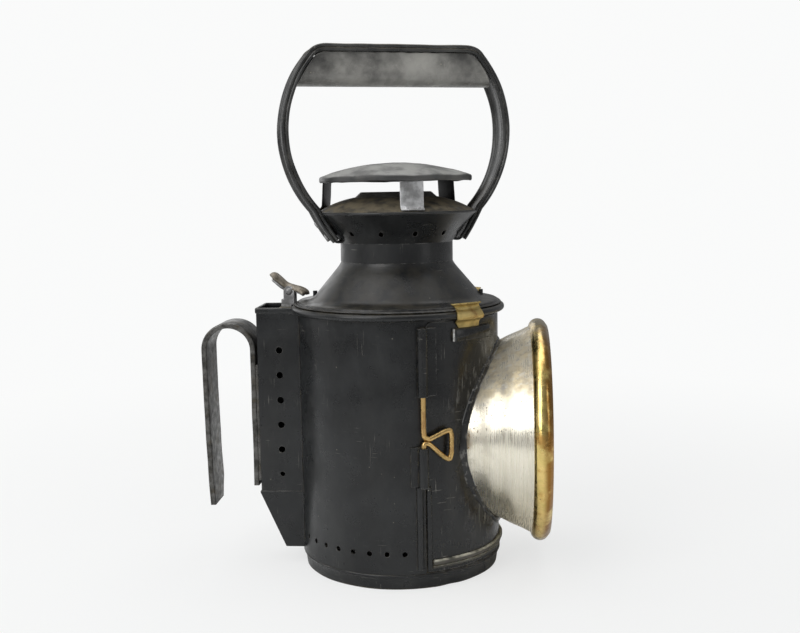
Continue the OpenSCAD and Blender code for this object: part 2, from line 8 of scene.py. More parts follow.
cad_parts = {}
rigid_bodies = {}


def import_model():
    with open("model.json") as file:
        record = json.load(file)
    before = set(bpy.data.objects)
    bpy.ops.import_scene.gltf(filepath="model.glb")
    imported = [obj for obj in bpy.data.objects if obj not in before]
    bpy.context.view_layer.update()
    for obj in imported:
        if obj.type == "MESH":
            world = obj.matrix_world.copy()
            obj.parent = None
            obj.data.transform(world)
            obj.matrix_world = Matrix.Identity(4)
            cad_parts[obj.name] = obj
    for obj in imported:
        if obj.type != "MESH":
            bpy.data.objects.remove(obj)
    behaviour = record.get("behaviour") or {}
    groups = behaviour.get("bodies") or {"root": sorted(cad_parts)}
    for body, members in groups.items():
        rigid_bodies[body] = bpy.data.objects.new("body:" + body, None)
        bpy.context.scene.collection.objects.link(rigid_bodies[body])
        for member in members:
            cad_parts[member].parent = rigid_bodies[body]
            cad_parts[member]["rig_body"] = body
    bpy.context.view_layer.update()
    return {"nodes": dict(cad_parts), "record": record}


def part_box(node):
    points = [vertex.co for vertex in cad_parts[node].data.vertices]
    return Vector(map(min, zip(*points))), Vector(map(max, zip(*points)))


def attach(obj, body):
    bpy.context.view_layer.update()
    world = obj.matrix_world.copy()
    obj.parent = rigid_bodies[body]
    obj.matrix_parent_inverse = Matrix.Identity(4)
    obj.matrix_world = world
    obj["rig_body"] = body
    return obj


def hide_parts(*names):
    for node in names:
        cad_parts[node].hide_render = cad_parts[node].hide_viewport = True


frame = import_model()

MM = 0.001

# ------------------------ driving sizes, in millimetres


def low(node):
    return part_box(node)[0] / MM


def high(node):
    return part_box(node)[1] / MM


def middle(node):
    return (low(node) + high(node)) / 2


BODY_R = high("body_shell").y               # outside radius of the body
LENS_Z = middle("bezel_ring").z             # height of the lens axis
BOX_BACK = -low("rear_box").x               # back of the rear box's hem
BOX_LOW, BOX_TOP = low("rear_box").z, high("rear_box").z
HOOK_TOP = high("belt_hook").z
CAP_R = high("cap_dome").y
CAP_TOP = high("cap_dome").z
CAP_RISE = 10.7                             # height of the cap's dome above its rim
BAIL_TOP = high("bail_strap").z
TOP_TURN = 18.3                             # degrees that the top stands turned from the lens
HINGE_AZ = 16.5                             # azimuth of the hinge wire
HINGE_R = BODY_R + 3.2
HOOD_SLOPE = 0.448                          # hood radius gained for each millimetre forward
HOOD_FRONT = high("hood_cone").x
HOOD_R = high("hood_cone").y - HOOD_SLOPE * (HOOD_FRONT - 40)     # hood radius 40 mm in front of the axis
BEZEL_R = high("bezel_ring").y              # outside radius of the bezel
BEZEL_X = middle("bezel_ring").x

# ------------------------ points, skins and pieces


def at(radius, azimuth, height):
    """A point at an azimuth, in degrees from -Y towards +X."""
    a = math.radians(azimuth)
    return Vector((radius * math.sin(a), -radius * math.cos(a), height))


def hood(x):
    return HOOD_R + HOOD_SLOPE * (x - 40)


def mix(a, b, t):
    return a + (b - a) * t


def rough(p, size, amount, seed=0.0):
    """Smooth noise from -amount to amount with bumps of a size."""
    return noise.noise(Vector(p) / size + Vector((seed, seed * 1.7, seed * 0.6))) * amount


def circle(count):
    """Angles all the way round."""
    return [2 * math.pi * k / count for k in range(count)]


def arc(cx, cy, r, start, end, steps=12):
    """Points along a circular arc, in degrees."""
    angles = [math.radians(mix(start, end, i / steps)) for i in range(steps + 1)]
    return [(cx + r * math.cos(a), cy + r * math.sin(a)) for a in angles]


def bend(a, b, c, steps=10):
    """Points along a three-point Bezier curve."""
    ts = [i / steps for i in range(steps + 1)]
    return [tuple(mix(mix(p, q, t), mix(q, r, t), t) for p, q, r in zip(a, b, c)) for t in ts]


def rounded(path, passes=3, loop=False):
    """A path with its corners cut again and again, so that they turn into curves."""
    path = [Vector(p) for p in path]
    for _ in range(passes):
        pairs = list(zip(path, path[1:] + (path[:1] if loop else [])))
        cut = [p for a, b in pairs for p in (a.lerp(b, 0.25), a.lerp(b, 0.75))]
        path = cut if loop else [path[0]] + cut[1:-1] + [path[-1]]
    return path


def spaced(path, step):
    """A path with points no further apart than a step."""
    path = [Vector(p) for p in path]
    out = [path[0]]
    for a, b in zip(path, path[1:]):
        n = max(1, math.ceil((b - a).length / step))
        out += [a.lerp(b, (i + 1) / n) for i in range(n)]
    return out


def spaced_flat(points, step=0.8):
    """A flat path, rounded and with its points spaced."""
    return [(p.x, p.y) for p in spaced(rounded([(*p, 0) for p in points], 2), step)]


def beside(path, distance):
    """A flat path moved to its left by a distance."""
    out = []
    for i, p in enumerate(path):
        d = (Vector(path[min(i + 1, len(path) - 1)]) - Vector(path[max(i - 1, 0)])).normalized()
        out.append((p[0] - d[1] * distance, p[1] + d[0] * distance))
    return out


def skin(rings, loop=False, caps=True, closed=True):
    """Points and faces over rings of points. The rings close, and their ends are capped or join in a loop."""
    n = len(rings[0])
    faces = []
    for i in range(len(rings) if loop else len(rings) - 1):
        a, b = i * n, (i + 1) % len(rings) * n
        for j in range(n if closed else n - 1):
            k = (j + 1) % n
            faces.append((a + j, a + k, b + k, b + j))
    if caps and not loop:
        faces += [tuple(reversed(range(n))), tuple(range(len(rings) * n - n, len(rings) * n))]
    return [Vector(p) for ring in rings for p in ring], faces


def spun(profile, steps=144, wobble=0.0, size=25.0, place=None):
    """A closed profile of (radius, height) turned about Z, a little out of true."""
    rings = []
    for i in range(steps):
        ring = [at(r, 360 * i / steps, z) for r, z in profile]
        rings.append([Vector((p.x, p.y, 0)) * (1 + rough(p, size, wobble) / max(p.xy.length, 5))
                      + Vector((0, 0, p.z)) for p in ring])
    points, faces = skin(rings, loop=True)
    return [place(p) for p in points] if place else points, faces


def along_lens(p):
    """Turns a point of a shape made about Z to lie along +X on the lens axis."""
    return Vector((p.z, p.y, LENS_Z - p.x))


def turned(p, degrees=TOP_TURN):
    a = math.radians(degrees)
    return Vector((p.x * math.cos(a) - p.y * math.sin(a), p.x * math.sin(a) + p.y * math.cos(a), p.z))


def strip(path, section, place, wear=0.0):
    """A section of (offset, across) run along a flat path. place puts (along, across, up) on the object."""
    left, rings = beside(path, 1.0), []
    for p, q in zip(path, left):
        side = Vector(q) - Vector(p[:2])
        ring = [Vector((p[0] + side.x * o, c, p[1] + side.y * o)) for o, c in section]
        rings.append([place(v + side.to_3d().xzy * rough(v, 14, wear)) for v in ring])
    return skin(rings)


def bar(thick, wide, corner=0.5, steps=3):
    """A section with rounded corners, thick by wide."""
    t, w = thick / 2 - corner, wide / 2 - corner
    corners = [(t, w, 0), (-t, w, 90), (-t, -w, 180), (t, -w, 270)]
    return [p for x, y, a in corners for p in arc(x, y, corner, a, a + 90, steps)]


def wire(path, radius, sides=14):
    """A round wire along a path in space."""
    path = [Vector(p) for p in path]
    rings = []
    normal = None
    for i, p in enumerate(path):
        d = (path[min(i + 1, len(path) - 1)] - path[max(i - 1, 0)]).normalized()
        if normal is None:
            normal = d.orthogonal().normalized()
        normal = (normal - d * normal.dot(d)).normalized()
        other = d.cross(normal)
        rings.append([p + (normal * math.cos(a) + other * math.sin(a)) * radius for a in circle(sides)])
    for end, inner in ((0, 1), (-1, -2)):
        centre = sum(rings[end], Vector()) / sides
        out = (centre - sum(rings[inner], Vector()) / sides).normalized() * radius * 0.35
        cap = [centre + (v - centre) * 0.7 + out for v in rings[end]]
        rings = [cap] + rings if end == 0 else rings + [cap]
    return skin(rings)


def rivet(centre, axis, radius, height):
    """A domed rivet head that stands on a face."""
    axis = Vector(axis).normalized()
    side = axis.orthogonal().normalized()
    other = axis.cross(side)
    rings = []
    for r, h in [(1.0, -0.3), (1.0, 0.12), (0.93, 0.42), (0.72, 0.78), (0.4, 0.96), (0.05, 1.0)]:
        foot = Vector(centre) + axis * h * height
        rings.append([foot + (side * math.cos(a) + other * math.sin(a)) * r * radius for a in circle(24)])
    return skin(rings)


def piece(name, body, slot, skins, replaces=(), bevel=0.0, sharp=38, cut=None):
    """One visible piece of one or more skins. It rides on a body and may stand for CAD nodes."""
    bm = bmesh.new()
    for points, faces in skins:
        made = [bm.verts.new(p * MM) for p in points]
        for face in faces:
            bm.faces.new([made[i] for i in face])
    if cut:
        bmesh.ops.bisect_plane(bm, geom=bm.verts[:] + bm.edges[:] + bm.faces[:], plane_co=Vector(cut[0]) * MM,
                               plane_no=Vector(cut[1]), clear_outer=True)
        bmesh.ops.holes_fill(bm, edges=[e for e in bm.edges if e.is_boundary])
    bmesh.ops.remove_doubles(bm, verts=bm.verts, dist=0.015 * MM)
    bmesh.ops.recalc_face_normals(bm, faces=bm.faces)
    mesh = bpy.data.meshes.new(name)
    bm.to_mesh(mesh)
    bm.free()
    return dressed(bpy.data.objects.new(name, mesh), body, slot, replaces, bevel, sharp)


def dressed(obj, body, slot, replaces, bevel, sharp):
    bpy.context.scene.collection.objects.link(obj)
    mesh = obj.data
    mesh.polygons.foreach_set("use_smooth", [True] * len(mesh.polygons))
    mesh.set_sharp_from_angle(angle=math.radians(sharp))
    if bevel:
        edge = obj.modifiers.new("rounding", "BEVEL")
        edge.width, edge.segments, edge.limit_method = bevel * MM, 2, "ANGLE"
        edge.angle_limit = math.radians(sharp)
    mesh.materials.clear()
    mesh.materials.append(finish_of(slot))
    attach(obj, body)
    if replaces:
        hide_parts(*replaces)
    return obj


def eased(node, bevel, sharp=32):
    """A piece with a CAD node's shape, its flat faces joined and its sharp edges rounded."""
    source = frame["nodes"][node]
    bm = bmesh.new()
    bm.from_mesh(source.data)
    bmesh.ops.remove_doubles(bm, verts=bm.verts, dist=0.002 * MM)
    bmesh.ops.dissolve_limit(bm, angle_limit=math.radians(0.4), verts=bm.verts, edges=bm.edges)
    mesh = bpy.data.meshes.new(node + "_eased")
    bm.to_mesh(mesh)
    bm.free()
    slot = SLOT_OF[node]
    return dressed(bpy.data.objects.new(node + "_eased", mesh), source["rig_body"], slot, [node], bevel, sharp)


def drilled(obj, holes, length):
    """Cuts round holes (centre, axis, radius) through a piece."""
    bm = bmesh.new()
    for centre, axis, radius in holes:
        turn = Vector(axis).to_track_quat("Z", "Y").to_matrix().to_4x4()
        turn.translation = Vector(centre) * MM
        bmesh.ops.create_cone(bm, cap_ends=True, segments=32, radius1=radius * MM, radius2=radius * MM,
                              depth=length * MM, matrix=turn)
    mesh = bpy.data.meshes.new("cutter")
    bm.to_mesh(mesh)
    bm.free()
    cutter = bpy.data.objects.new("cutter", mesh)
    bpy.context.scene.collection.objects.link(cutter)
    boolean = obj.modifiers.new("holes", "BOOLEAN")
    boolean.object, boolean.solver = cutter, "EXACT"
    bpy.context.view_layer.update()
    result = bpy.data.meshes.new_from_object(obj.evaluated_get(bpy.context.evaluated_depsgraph_get()))
    obj.modifiers.clear()
    obj.data = result
    bpy.data.objects.remove(cutter)
    return obj


# ------------------------ materials


class Surface:
    """A material under construction. All its patterns are placed by the object's own coordinates."""

    def __init__(self, name, **sockets):
        self.material = bpy.data.materials.new(name)
        self.material.use_nodes = True
        self.tree = self.material.node_tree
        self.shader = self.tree.nodes["Principled BSDF"]
        for socket, value in sockets.items():
            self.put(socket.replace("_", " "), value)
        self.place = self.add("TexCoord").outputs["Object"]
        self.colour = None

    def put(self, socket, value):
        target = self.shader.inputs[socket]
        if isinstance(value, bpy.types.NodeSocket):
            self.tree.links.new(value, target)
        else:
            target.default_value = (*value, 1.0) if isinstance(value, tuple) else value

    def add(self, kind, inputs=(), **settings):
        node = self.tree.nodes.new("ShaderNode" + kind)
        for key, value in settings.items():
            setattr(node, key, value)
        for key, value in dict(inputs).items():
            if isinstance(value, bpy.types.NodeSocket):
                self.tree.links.new(value, node.inputs[key])
            else:
                node.inputs[key].default_value = value
        return node

    def math(self, operation, a, b=0.0):
        return self.add("Math", {0: a, 1: b}, operation=operation, use_clamp=True).outputs[0]

    def times(self, a, b):
        return self.math("MULTIPLY", a, b)

    def most(self, a, b):
        return self.math("MAXIMUM", a, b)

    def rest(self, a):
        return self.math("SUBTRACT", 1.0, a)

    def step(self, value, start, end):
        """0 below start and 1 above end, smooth between."""
        return self.add("MapRange", {"Value": value, "From Min": start, "From Max": end},
                        interpolation_type="SMOOTHSTEP").outputs["Result"]

    def patches(self, size, start=0.42, end=0.62, stretch=(1, 1, 1), detail=4.0, turn=(0, 0, 0), seed=0.0):
        """Noise from 0 to 1 in patches of a size. stretch is how much finer they are along each axis."""
        scale = tuple(s / (size * MM) for s in stretch)
        place = self.add("Mapping", {"Vector": self.place, "Scale": scale, "Rotation": turn,
                                               "Location": (seed, seed * 0.7, seed * 1.3)})
        pattern = self.add("TexNoise", {"Vector": place.outputs[0], "Scale": 1.0, "Detail": detail,
                                                  "Roughness": 0.6})
        return self.step(pattern.outputs["Fac"], start, end)

    def specks(self, spacing, radius, share=0.5, seed=0.0):
        """Small round spots a spacing apart, on a share of the places."""
        place = self.add("Mapping", {"Vector": self.place, "Scale": (1 / (spacing * MM),) * 3,
                                               "Location": (seed, seed * 2.0, seed * 0.5)})
        cells = self.add("TexVoronoi", {"Vector": place.outputs[0], "Scale": 1.0})
        dot = self.rest(self.step(cells.outputs["Distance"], radius * 0.5, radius))
        pick = self.add("SeparateColor", {"Color": cells.outputs["Color"]}).outputs[0]
        return self.times(dot, self.math("LESS_THAN", pick, share))

    def facing(self, axis, start, end):
        normal = self.add("NewGeometry").outputs["Normal"]
        return self.step(self.add("SeparateXYZ", {0: normal}).outputs[axis], start, end)

    def coordinate(self, axis, start, end):
        """From 0 at start to 1 at end, in millimetres along an axis of the object."""
        along = self.add("SeparateXYZ", {0: self.place}).outputs[axis]
        return self.step(along, start * MM, end * MM)

    def near_hood(self, start, end):
        """1 on the door beside the hood and 0 further off, with distances in millimetres."""
        xyz = self.add("SeparateXYZ", {0: self.place}).outputs
        free = {"operation": "SUBTRACT"}
        up = self.add("Math", {0: xyz[2], 1: LENS_Z * MM}, **free).outputs[0]
        flat = self.add("CombineXYZ", {"Y": xyz[1], "Z": up}).outputs[0]
        reach = self.add("VectorMath", {0: flat}, operation="LENGTH").outputs["Value"]
        cone = self.add("Math", {0: xyz[0], 1: HOOD_SLOPE, 2: (HOOD_R - 40 * HOOD_SLOPE) * MM},
                        operation="MULTIPLY_ADD").outputs[0]
        gap = self.add("Math", {0: reach, 1: cone}, **free).outputs[0]
        return self.rest(self.step(gap, start * MM, end * MM))

    def corners(self, size, start=0.015, end=0.12):
        """1 on outside corners and sharp edges."""
        soft = self.add("Bevel", {"Radius": size * MM}, samples=4).outputs[0]
        normal = self.add("NewGeometry").outputs["Normal"]
        same = self.add("VectorMath", {0: soft, 1: normal}, operation="DOT_PRODUCT").outputs["Value"]
        return self.step(self.rest(same), start, end)

    def hollows(self, size, start=0.35, end=0.85):
        """1 in seams and inside corners."""
        open_sky = self.add("AmbientOcclusion", {"Distance": size * MM}, samples=4).outputs["AO"]
        return self.step(self.rest(open_sky), start, end)

    def over(self, factor, tone):
        """Lays a tone over the colour so far."""
        self.colour = self.blend(factor, self.colour, tone)

    def blend(self, factor, a, b):
        node = self.add("Mix", data_type="RGBA")
        self.tree.links.new(factor, node.inputs["Factor"])
        for socket, value in ((node.inputs[6], a), (node.inputs[7], b)):
            if isinstance(value, bpy.types.NodeSocket):
                self.tree.links.new(value, socket)
            else:
                socket.default_value = (*value, 1.0)
        return node.outputs[2]

    def between(self, factor, a, b):
        node = self.add("Mix", {"Factor": factor, "A": a, "B": b}, data_type="FLOAT")
        return node.outputs[0]

    def bumps(self, *heights):
        """Stacks bumps, each a (pattern, depth in millimetres)."""
        normal = None
        for pattern, depth in heights:
            inputs = {"Height": pattern, "Distance": abs(depth) * MM, "Strength": 1.0}
            if normal:
                inputs["Normal"] = normal
            normal = self.add("Bump", inputs, invert=depth < 0).outputs[0]
        self.put("Normal", normal)

    def done(self, roughness, metal=0.0):
        self.put("Base Color", self.colour)
        self.put("Roughness", roughness)
        self.put("Metallic", metal)
        return self.material


TAN = (0.20, 0.165, 0.105)                  # dried dust and old polish in the seams
GREY_DUST = (0.33, 0.315, 0.28)
BARE = (0.42, 0.41, 0.385)                  # steel where the paint has gone


def painted(name, dark, light, gloss, dust=0.5, seams=0.6, wear=0.4, scratches=0.3, dust_tone=TAN, flakes=0.0,
            mottle=30, settle=7, scraped=False):
    """Old black paint on sheet metal: mottled, dusty on top, tan in its seams, worn through on its edges."""
    s = Surface(name)
    s.put("Specular IOR Level", 0.42)
    s.colour = s.blend(s.patches(mottle, 0.3, 0.72, detail=6), dark, light)
    gloss_map = s.between(s.patches(11, 0.35, 0.7, seed=3.1), gloss - 0.06, gloss + 0.08)
    film = s.times(s.patches(22, 0.46, 0.72, stretch=(1, 1, 0.4), seed=7.7), 0.35 * dust)
    s.over(film, tuple(c * 0.5 for c in GREY_DUST))
    settled = s.times(s.times(s.facing(2, 0.25, 0.95), s.patches(settle, 0.3, 0.62, seed=1.3)), dust)
    s.over(settled, dust_tone)
    filled = s.times(s.times(s.hollows(2.2), s.patches(5, 0.38, 0.6, seed=5.2)), seams)
    s.over(filled, TAN)
    lines = s.patches(3.0, 0.66, 0.70, stretch=(5, 5, 0.18), detail=2, turn=(0.5, 0.25, 0), seed=2.0)
    across = s.patches(3.4, 0.67, 0.71, stretch=(0.2, 0.2, 5), detail=2, turn=(0.4, -0.3, 0), seed=9.0)
    scratch = s.times(s.times(s.most(lines, across), s.patches(16, 0.5, 0.68, seed=4.0)), scratches)
    s.over(scratch, GREY_DUST)
    spots = s.times(s.specks(6.5, 0.075, 0.30), scratches)
    s.over(spots, (0.38, 0.35, 0.28))
    worn = s.times(s.times(s.corners(0.55), s.patches(4.5, 0.42, 0.62, detail=6, seed=6.0)), wear)
    if flakes:
        worn = s.most(worn, s.times(s.patches(3.2, 0.56, 0.62, detail=7, seed=8.5), flakes))
    if scraped:
        streaks = s.patches(3.0, 0.52, 0.66, stretch=(1.6, 1.6, 0.25), detail=6,
                            turn=(0.35, 0.5, 0), seed=21.0)
        ends = s.most(s.coordinate(2, LENS_Z + 12, LENS_Z + 30),
                      s.rest(s.coordinate(2, LENS_Z - 45, LENS_Z - 25)))
        rubbed = s.times(s.times(s.near_hood(5, 24), streaks), s.times(ends, 0.55))
        s.over(rubbed, (0.30, 0.295, 0.27))
    s.over(worn, BARE)
    dull = s.most(s.most(settled, filled), film)
    roughness = s.between(dull, gloss_map, 0.85)
    s.bumps((s.patches(45, 0.3, 0.7, detail=2, seed=11.0), 0.35), (s.patches(1.1, 0.3, 0.7, detail=2), 0.012),
            (worn, -0.05), (scratch, -0.03))
    return s.done(s.between(worn, roughness, 0.42), s.times(worn, 0.75))


def bare_solder(name):
    s = Surface(name)
    s.colour = s.blend(s.patches(1.5, 0.35, 0.65), (0.62, 0.62, 0.60), (0.34, 0.34, 0.33))
    s.bumps((s.patches(1.2, 0.3, 0.7), 0.06))
    return s.done(s.between(s.patches(2, 0.3, 0.7, seed=2.0), 0.35, 0.6), 0.6)


def steel(name, dark, light, stain, roughness=0.42, metal=0.8, size=6.0):
    """Bare or blued steel with mottled stains."""
    s = Surface(name)
    s.colour = s.blend(s.patches(size, 0.35, 0.68, detail=7), dark, light)
    stained = s.times(s.patches(size * 1.8, 0.52, 0.68, detail=6, seed=4.4), 0.8)
    s.over(stained, stain)
    seam = s.times(s.hollows(1.8), 0.7)
    s.over(seam, (0.05, 0.043, 0.03))
    shine = s.times(s.corners(0.5), s.patches(4, 0.35, 0.6, seed=2.2))
    s.over(shine, BARE)
    pits = s.specks(1.6, 0.16, 0.35)
    s.bumps((s.patches(2.2, 0.3, 0.7, detail=5), 0.05), (pits, -0.05))
    rough_map = s.between(s.patches(4, 0.3, 0.7, seed=1.9), roughness - 0.08, roughness + 0.14)
    return s.done(rough_map, s.between(stained, metal, metal * 0.5))


def reflector_plate(name):
    s = Surface(name)
    haze = s.patches(12, 0.40, 0.75, detail=6)
    s.colour = s.blend(haze, (0.86, 0.85, 0.82), (0.66, 0.62, 0.53))
    soot = s.times(s.coordinate(2, 85, 112), s.patches(16, 0.35, 0.65, seed=2.0))
    s.over(soot, (0.20, 0.17, 0.13))
    s.bumps((s.patches(9, 0.3, 0.7, detail=2), 0.10), (s.patches(0.8, 0.3, 0.7, detail=2), 0.004))
    return s.done(s.between(haze, 0.10, 0.30), 1.0)


def nickel(name):
    """Nickel brushed round the hood: bright at mid height, tarnished on top, with dark specks between, and
    with a painted reflection that makes its lower part lighter and warmer.
    """
    s = Surface(name)
    brushed = s.patches(0.9, 0.3, 0.7, stretch=(1, 0.02, 0.02), detail=3)
    fine = s.patches(0.35, 0.35, 0.65, stretch=(1, 0.03, 0.03), detail=2, seed=3.0)
    s.colour = s.blend(brushed, (0.90, 0.85, 0.73), (0.78, 0.73, 0.60))
    above = s.coordinate(2, 88, 112)
    clouds = s.patches(9, 0.34, 0.66, detail=7, seed=6.0)
    tarnish = s.times(above, s.between(clouds, 0.20, 0.85))
    s.over(tarnish, s.blend(s.patches(4, 0.4, 0.6, detail=6), (0.76, 0.65, 0.43), (0.46, 0.38, 0.24)))
    cool = s.times(s.times(above, s.patches(6, 0.55, 0.7, seed=12.0)), 0.7)
    s.over(cool, (0.42, 0.41, 0.39))
    rub = s.times(s.times(above, s.patches(3, 0.56, 0.66, stretch=(0.4, 1, 1), seed=15.0)), 0.6)
    s.over(rub, (0.78, 0.76, 0.70))
    zone = s.times(s.coordinate(2, 80, 88), s.rest(s.coordinate(2, 100, 112)))
    spots = s.times(s.most(s.specks(2.6, 0.20, 0.30), s.patches(1.6, 0.64, 0.68, detail=3, seed=5.0)), zone)
    anywhere = s.specks(7, 0.07, 0.5, seed=3.0)
    s.over(s.most(spots, anywhere), (0.16, 0.12, 0.07))
    # painted reflection: the lower hood is made lighter and warmer in colour, standing in for the bright floor
    # that it reflects
    painted_low_reflection = s.times(s.rest(s.coordinate(2, 24, 66)), 0.75)
    s.over(painted_low_reflection, (0.95, 0.86, 0.66))
    roots = s.times(s.rest(s.coordinate(0, 46, 62)), s.patches(7, 0.40, 0.6, seed=9.0))
    roots = s.times(roots, 0.25)
    s.over(roots, (0.22, 0.20, 0.16))
    rust = s.times(s.hollows(2.5), s.patches(2.5, 0.35, 0.55, seed=8.0))
    s.over(rust, (0.09, 0.07, 0.045))
    s.bumps((s.patches(35, 0.3, 0.7, detail=1, seed=2.5), 0.45), (brushed, 0.006), (fine, 0.003),
            (spots, -0.03))
    roughness = s.between(tarnish, s.between(fine, 0.20, 0.30), 0.40)
    dull = s.most(s.times(s.coordinate(2, 96, 124), 0.42),
                  s.times(s.rest(s.coordinate(2, 18, 58)), 0.55))
    return s.done(s.between(s.most(rust, roots), roughness, 0.6), s.rest(dull))


def brass(name, bright, olive, copper, roughness, patina, bezel=False):
    """Old brass. The bezel is dull at its top and bottom and brown on its front edge."""
    s = Surface(name)
    s.colour = s.blend(s.times(s.patches(13, 0.40, 0.66, detail=6), patina), bright, olive)
    s.over(s.times(s.patches(8, 0.52, 0.68, detail=6, seed=3.3), patina), copper)
    spots = s.times(s.specks(3.2, 0.14, 0.4), patina)
    s.over(spots, (0.10, 0.06, 0.03))
    if bezel:
        ends = s.most(s.coordinate(2, LENS_Z + 52, LENS_Z + 66),
                      s.rest(s.coordinate(2, LENS_Z - 67, LENS_Z - 54)))
        front = s.coordinate(0, BEZEL_X - 1.0, BEZEL_X + 3.0)
        s.over(s.times(front, s.patches(16, 0.30, 0.50, seed=7.0)), (0.30, 0.15, 0.035))
        s.over(s.times(ends, s.patches(5, 0.30, 0.55, detail=6, seed=5.0)), (0.40, 0.34, 0.23))
    dirt = s.times(s.hollows(1.6), s.patches(3, 0.35, 0.6, seed=1.0))
    s.over(dirt, (0.07, 0.05, 0.025))
    s.bumps((s.patches(6, 0.3, 0.7, detail=3), 0.04), (s.patches(0.7, 0.3, 0.7, detail=2), 0.004),
            (spots, -0.03))
    rough_map = s.between(s.patches(7, 0.35, 0.7, seed=2.0), roughness - 0.06, roughness + 0.12)
    return s.done(s.between(dirt, rough_map, 0.7), 1.0)


def lens_glass(name):
    s = Surface(name, IOR=1.5, Transmission_Weight=1.0)
    smear = s.patches(25, 0.45, 0.75, detail=6)
    s.bumps((s.patches(20, 0.3, 0.7, detail=1), 0.03))
    s.colour = s.blend(smear, (0.93, 0.985, 0.97), (0.85, 0.94, 0.92))
    return s.done(s.between(smear, 0.01, 0.07))


def wax(name):
    s = Surface(name, Subsurface_Weight=0.35, Subsurface_Scale=0.004)
    s.colour = s.blend(s.patches(9, 0.35, 0.7), (0.80, 0.75, 0.60), (0.70, 0.63, 0.46))
    s.over(s.times(s.specks(2.5, 0.12, 0.3), 0.8), (0.25, 0.20, 0.14))
    s.bumps((s.patches(4, 0.3, 0.7), 0.12))
    return s.done(s.between(s.patches(5, 0.3, 0.7, seed=2.0), 0.36, 0.55))


def wick(name):
    s = Surface(name)
    twist = s.patches(0.6, 0.35, 0.65, stretch=(1, 1, 0.6), turn=(0.6, 0, 0))
    s.colour = s.blend(s.coordinate(2, 74.5, 77.5), s.blend(twist, (0.35, 0.30, 0.22), (0.16, 0.13, 0.10)),
                     (0.012, 0.011, 0.010))
    s.bumps((twist, 0.10))
    return s.done(s.between(twist, 0.8, 0.95))


# how each finish is made: a function and its values
FINISHES = {
    "black_paint": (painted, dict(
        dark=(0.006, 0.0066, 0.0071), light=(0.016, 0.0172, 0.018), gloss=0.32, dust=0.12)),
    "gloss_paint": (painted, dict(
        dark=(0.006, 0.0065, 0.007), light=(0.013, 0.014, 0.0145), gloss=0.27, dust=0.25, scratches=0.8,
        wear=0.7, scraped=True)),
    "dusty_paint": (painted, dict(
        dark=(0.018, 0.0175, 0.015), light=(0.044, 0.042, 0.034), gloss=0.58, dust=0.7, seams=0.8,
        wear=0.35)),
    "cap_dust": (painted, dict(
        dark=(0.028, 0.0285, 0.029), light=(0.080, 0.080, 0.078), gloss=0.38, dust=1.0, wear=0.5,
        dust_tone=(0.33, 0.33, 0.315), settle=16)),
    "ledge_dust": (painted, dict(
        dark=(0.030, 0.029, 0.025), light=(0.090, 0.086, 0.070), gloss=0.55, dust=1.0, seams=0.9, wear=0.4,
        dust_tone=(0.62, 0.60, 0.50))),
    # the grip's pale tone is partly worn paint and partly a painted highlight along its curved face
    "grip_paint": (painted, dict(
        dark=(0.026, 0.0265, 0.026), light=(0.370, 0.362, 0.335), gloss=0.27, dust=0.4, scratches=1.0,
        wear=1.0, mottle=34)),
    "worn_strap": (painted, dict(
        dark=(0.011, 0.0115, 0.012), light=(0.060, 0.060, 0.057), gloss=0.26, wear=1.0, scratches=0.7,
        dust=0.4, mottle=14)),
    "solder_grey": (painted, dict(
        dark=(0.009, 0.0095, 0.010), light=(0.022, 0.0225, 0.023), gloss=0.15, wear=0.9, scratches=0.7,
        seams=0.7, dust=0.2, flakes=0.30)),
    "bare_solder": (bare_solder, {}),
    "lever_tan": (steel, dict(
        dark=(0.20, 0.17, 0.13), light=(0.38, 0.34, 0.28), stain=(0.10, 0.085, 0.06), roughness=0.5,
        metal=0.4, size=4)),
    "hook_steel": (steel, dict(
        dark=(0.045, 0.043, 0.039), light=(0.150, 0.147, 0.140), stain=(0.075, 0.060, 0.037),
        roughness=0.38, metal=0.75, size=5)),
    "bare_steel": (steel, dict(
        dark=(0.300, 0.299, 0.298), light=(0.620, 0.620, 0.625), stain=(0.160, 0.158, 0.157),
        roughness=0.42, metal=0.75, size=7)),
    "tinplate": (steel, dict(
        dark=(0.300, 0.285, 0.255), light=(0.500, 0.485, 0.450), stain=(0.110, 0.090, 0.062),
        roughness=0.34, metal=0.9, size=14)),
    "spring_steel": (steel, dict(
        dark=(0.200, 0.205, 0.210), light=(0.380, 0.385, 0.390), stain=(0.120, 0.080, 0.050),
        roughness=0.28, metal=0.95, size=4)),
    "reflector_plate": (reflector_plate, {}),
    "nickel": (nickel, {}),
    "bezel_brass": (brass, dict(
        bright=(0.86, 0.64, 0.25), olive=(0.60, 0.48, 0.15), copper=(0.56, 0.29, 0.07), roughness=0.24,
        patina=0.75, bezel=True)),
    "aged_brass": (brass, dict(
        bright=(0.60, 0.46, 0.19), olive=(0.34, 0.26, 0.10), copper=(0.33, 0.20, 0.08), roughness=0.44,
        patina=1.0)),
    "wire_brass": (brass, dict(
        bright=(0.62, 0.42, 0.17), olive=(0.36, 0.25, 0.10), copper=(0.38, 0.22, 0.09), roughness=0.27,
        patina=0.8)),
    "lens_glass": (lens_glass, {}),
    "wax": (wax, {}),
    "wick": (wick, {}),
}
# each CAD node's finish slot, as the record gives it
SLOT_OF = {part["node"]: part["material_slot"] for part in frame["record"]["subparts"]}
MADE = {}


def finish_of(slot):
    """The slot's material, made once."""
    if slot not in MADE:
        make, values = FINISHES[slot]
        MADE[slot] = make(slot, **values)
    return MADE[slot]


# ------------------------ foot, body and rear box


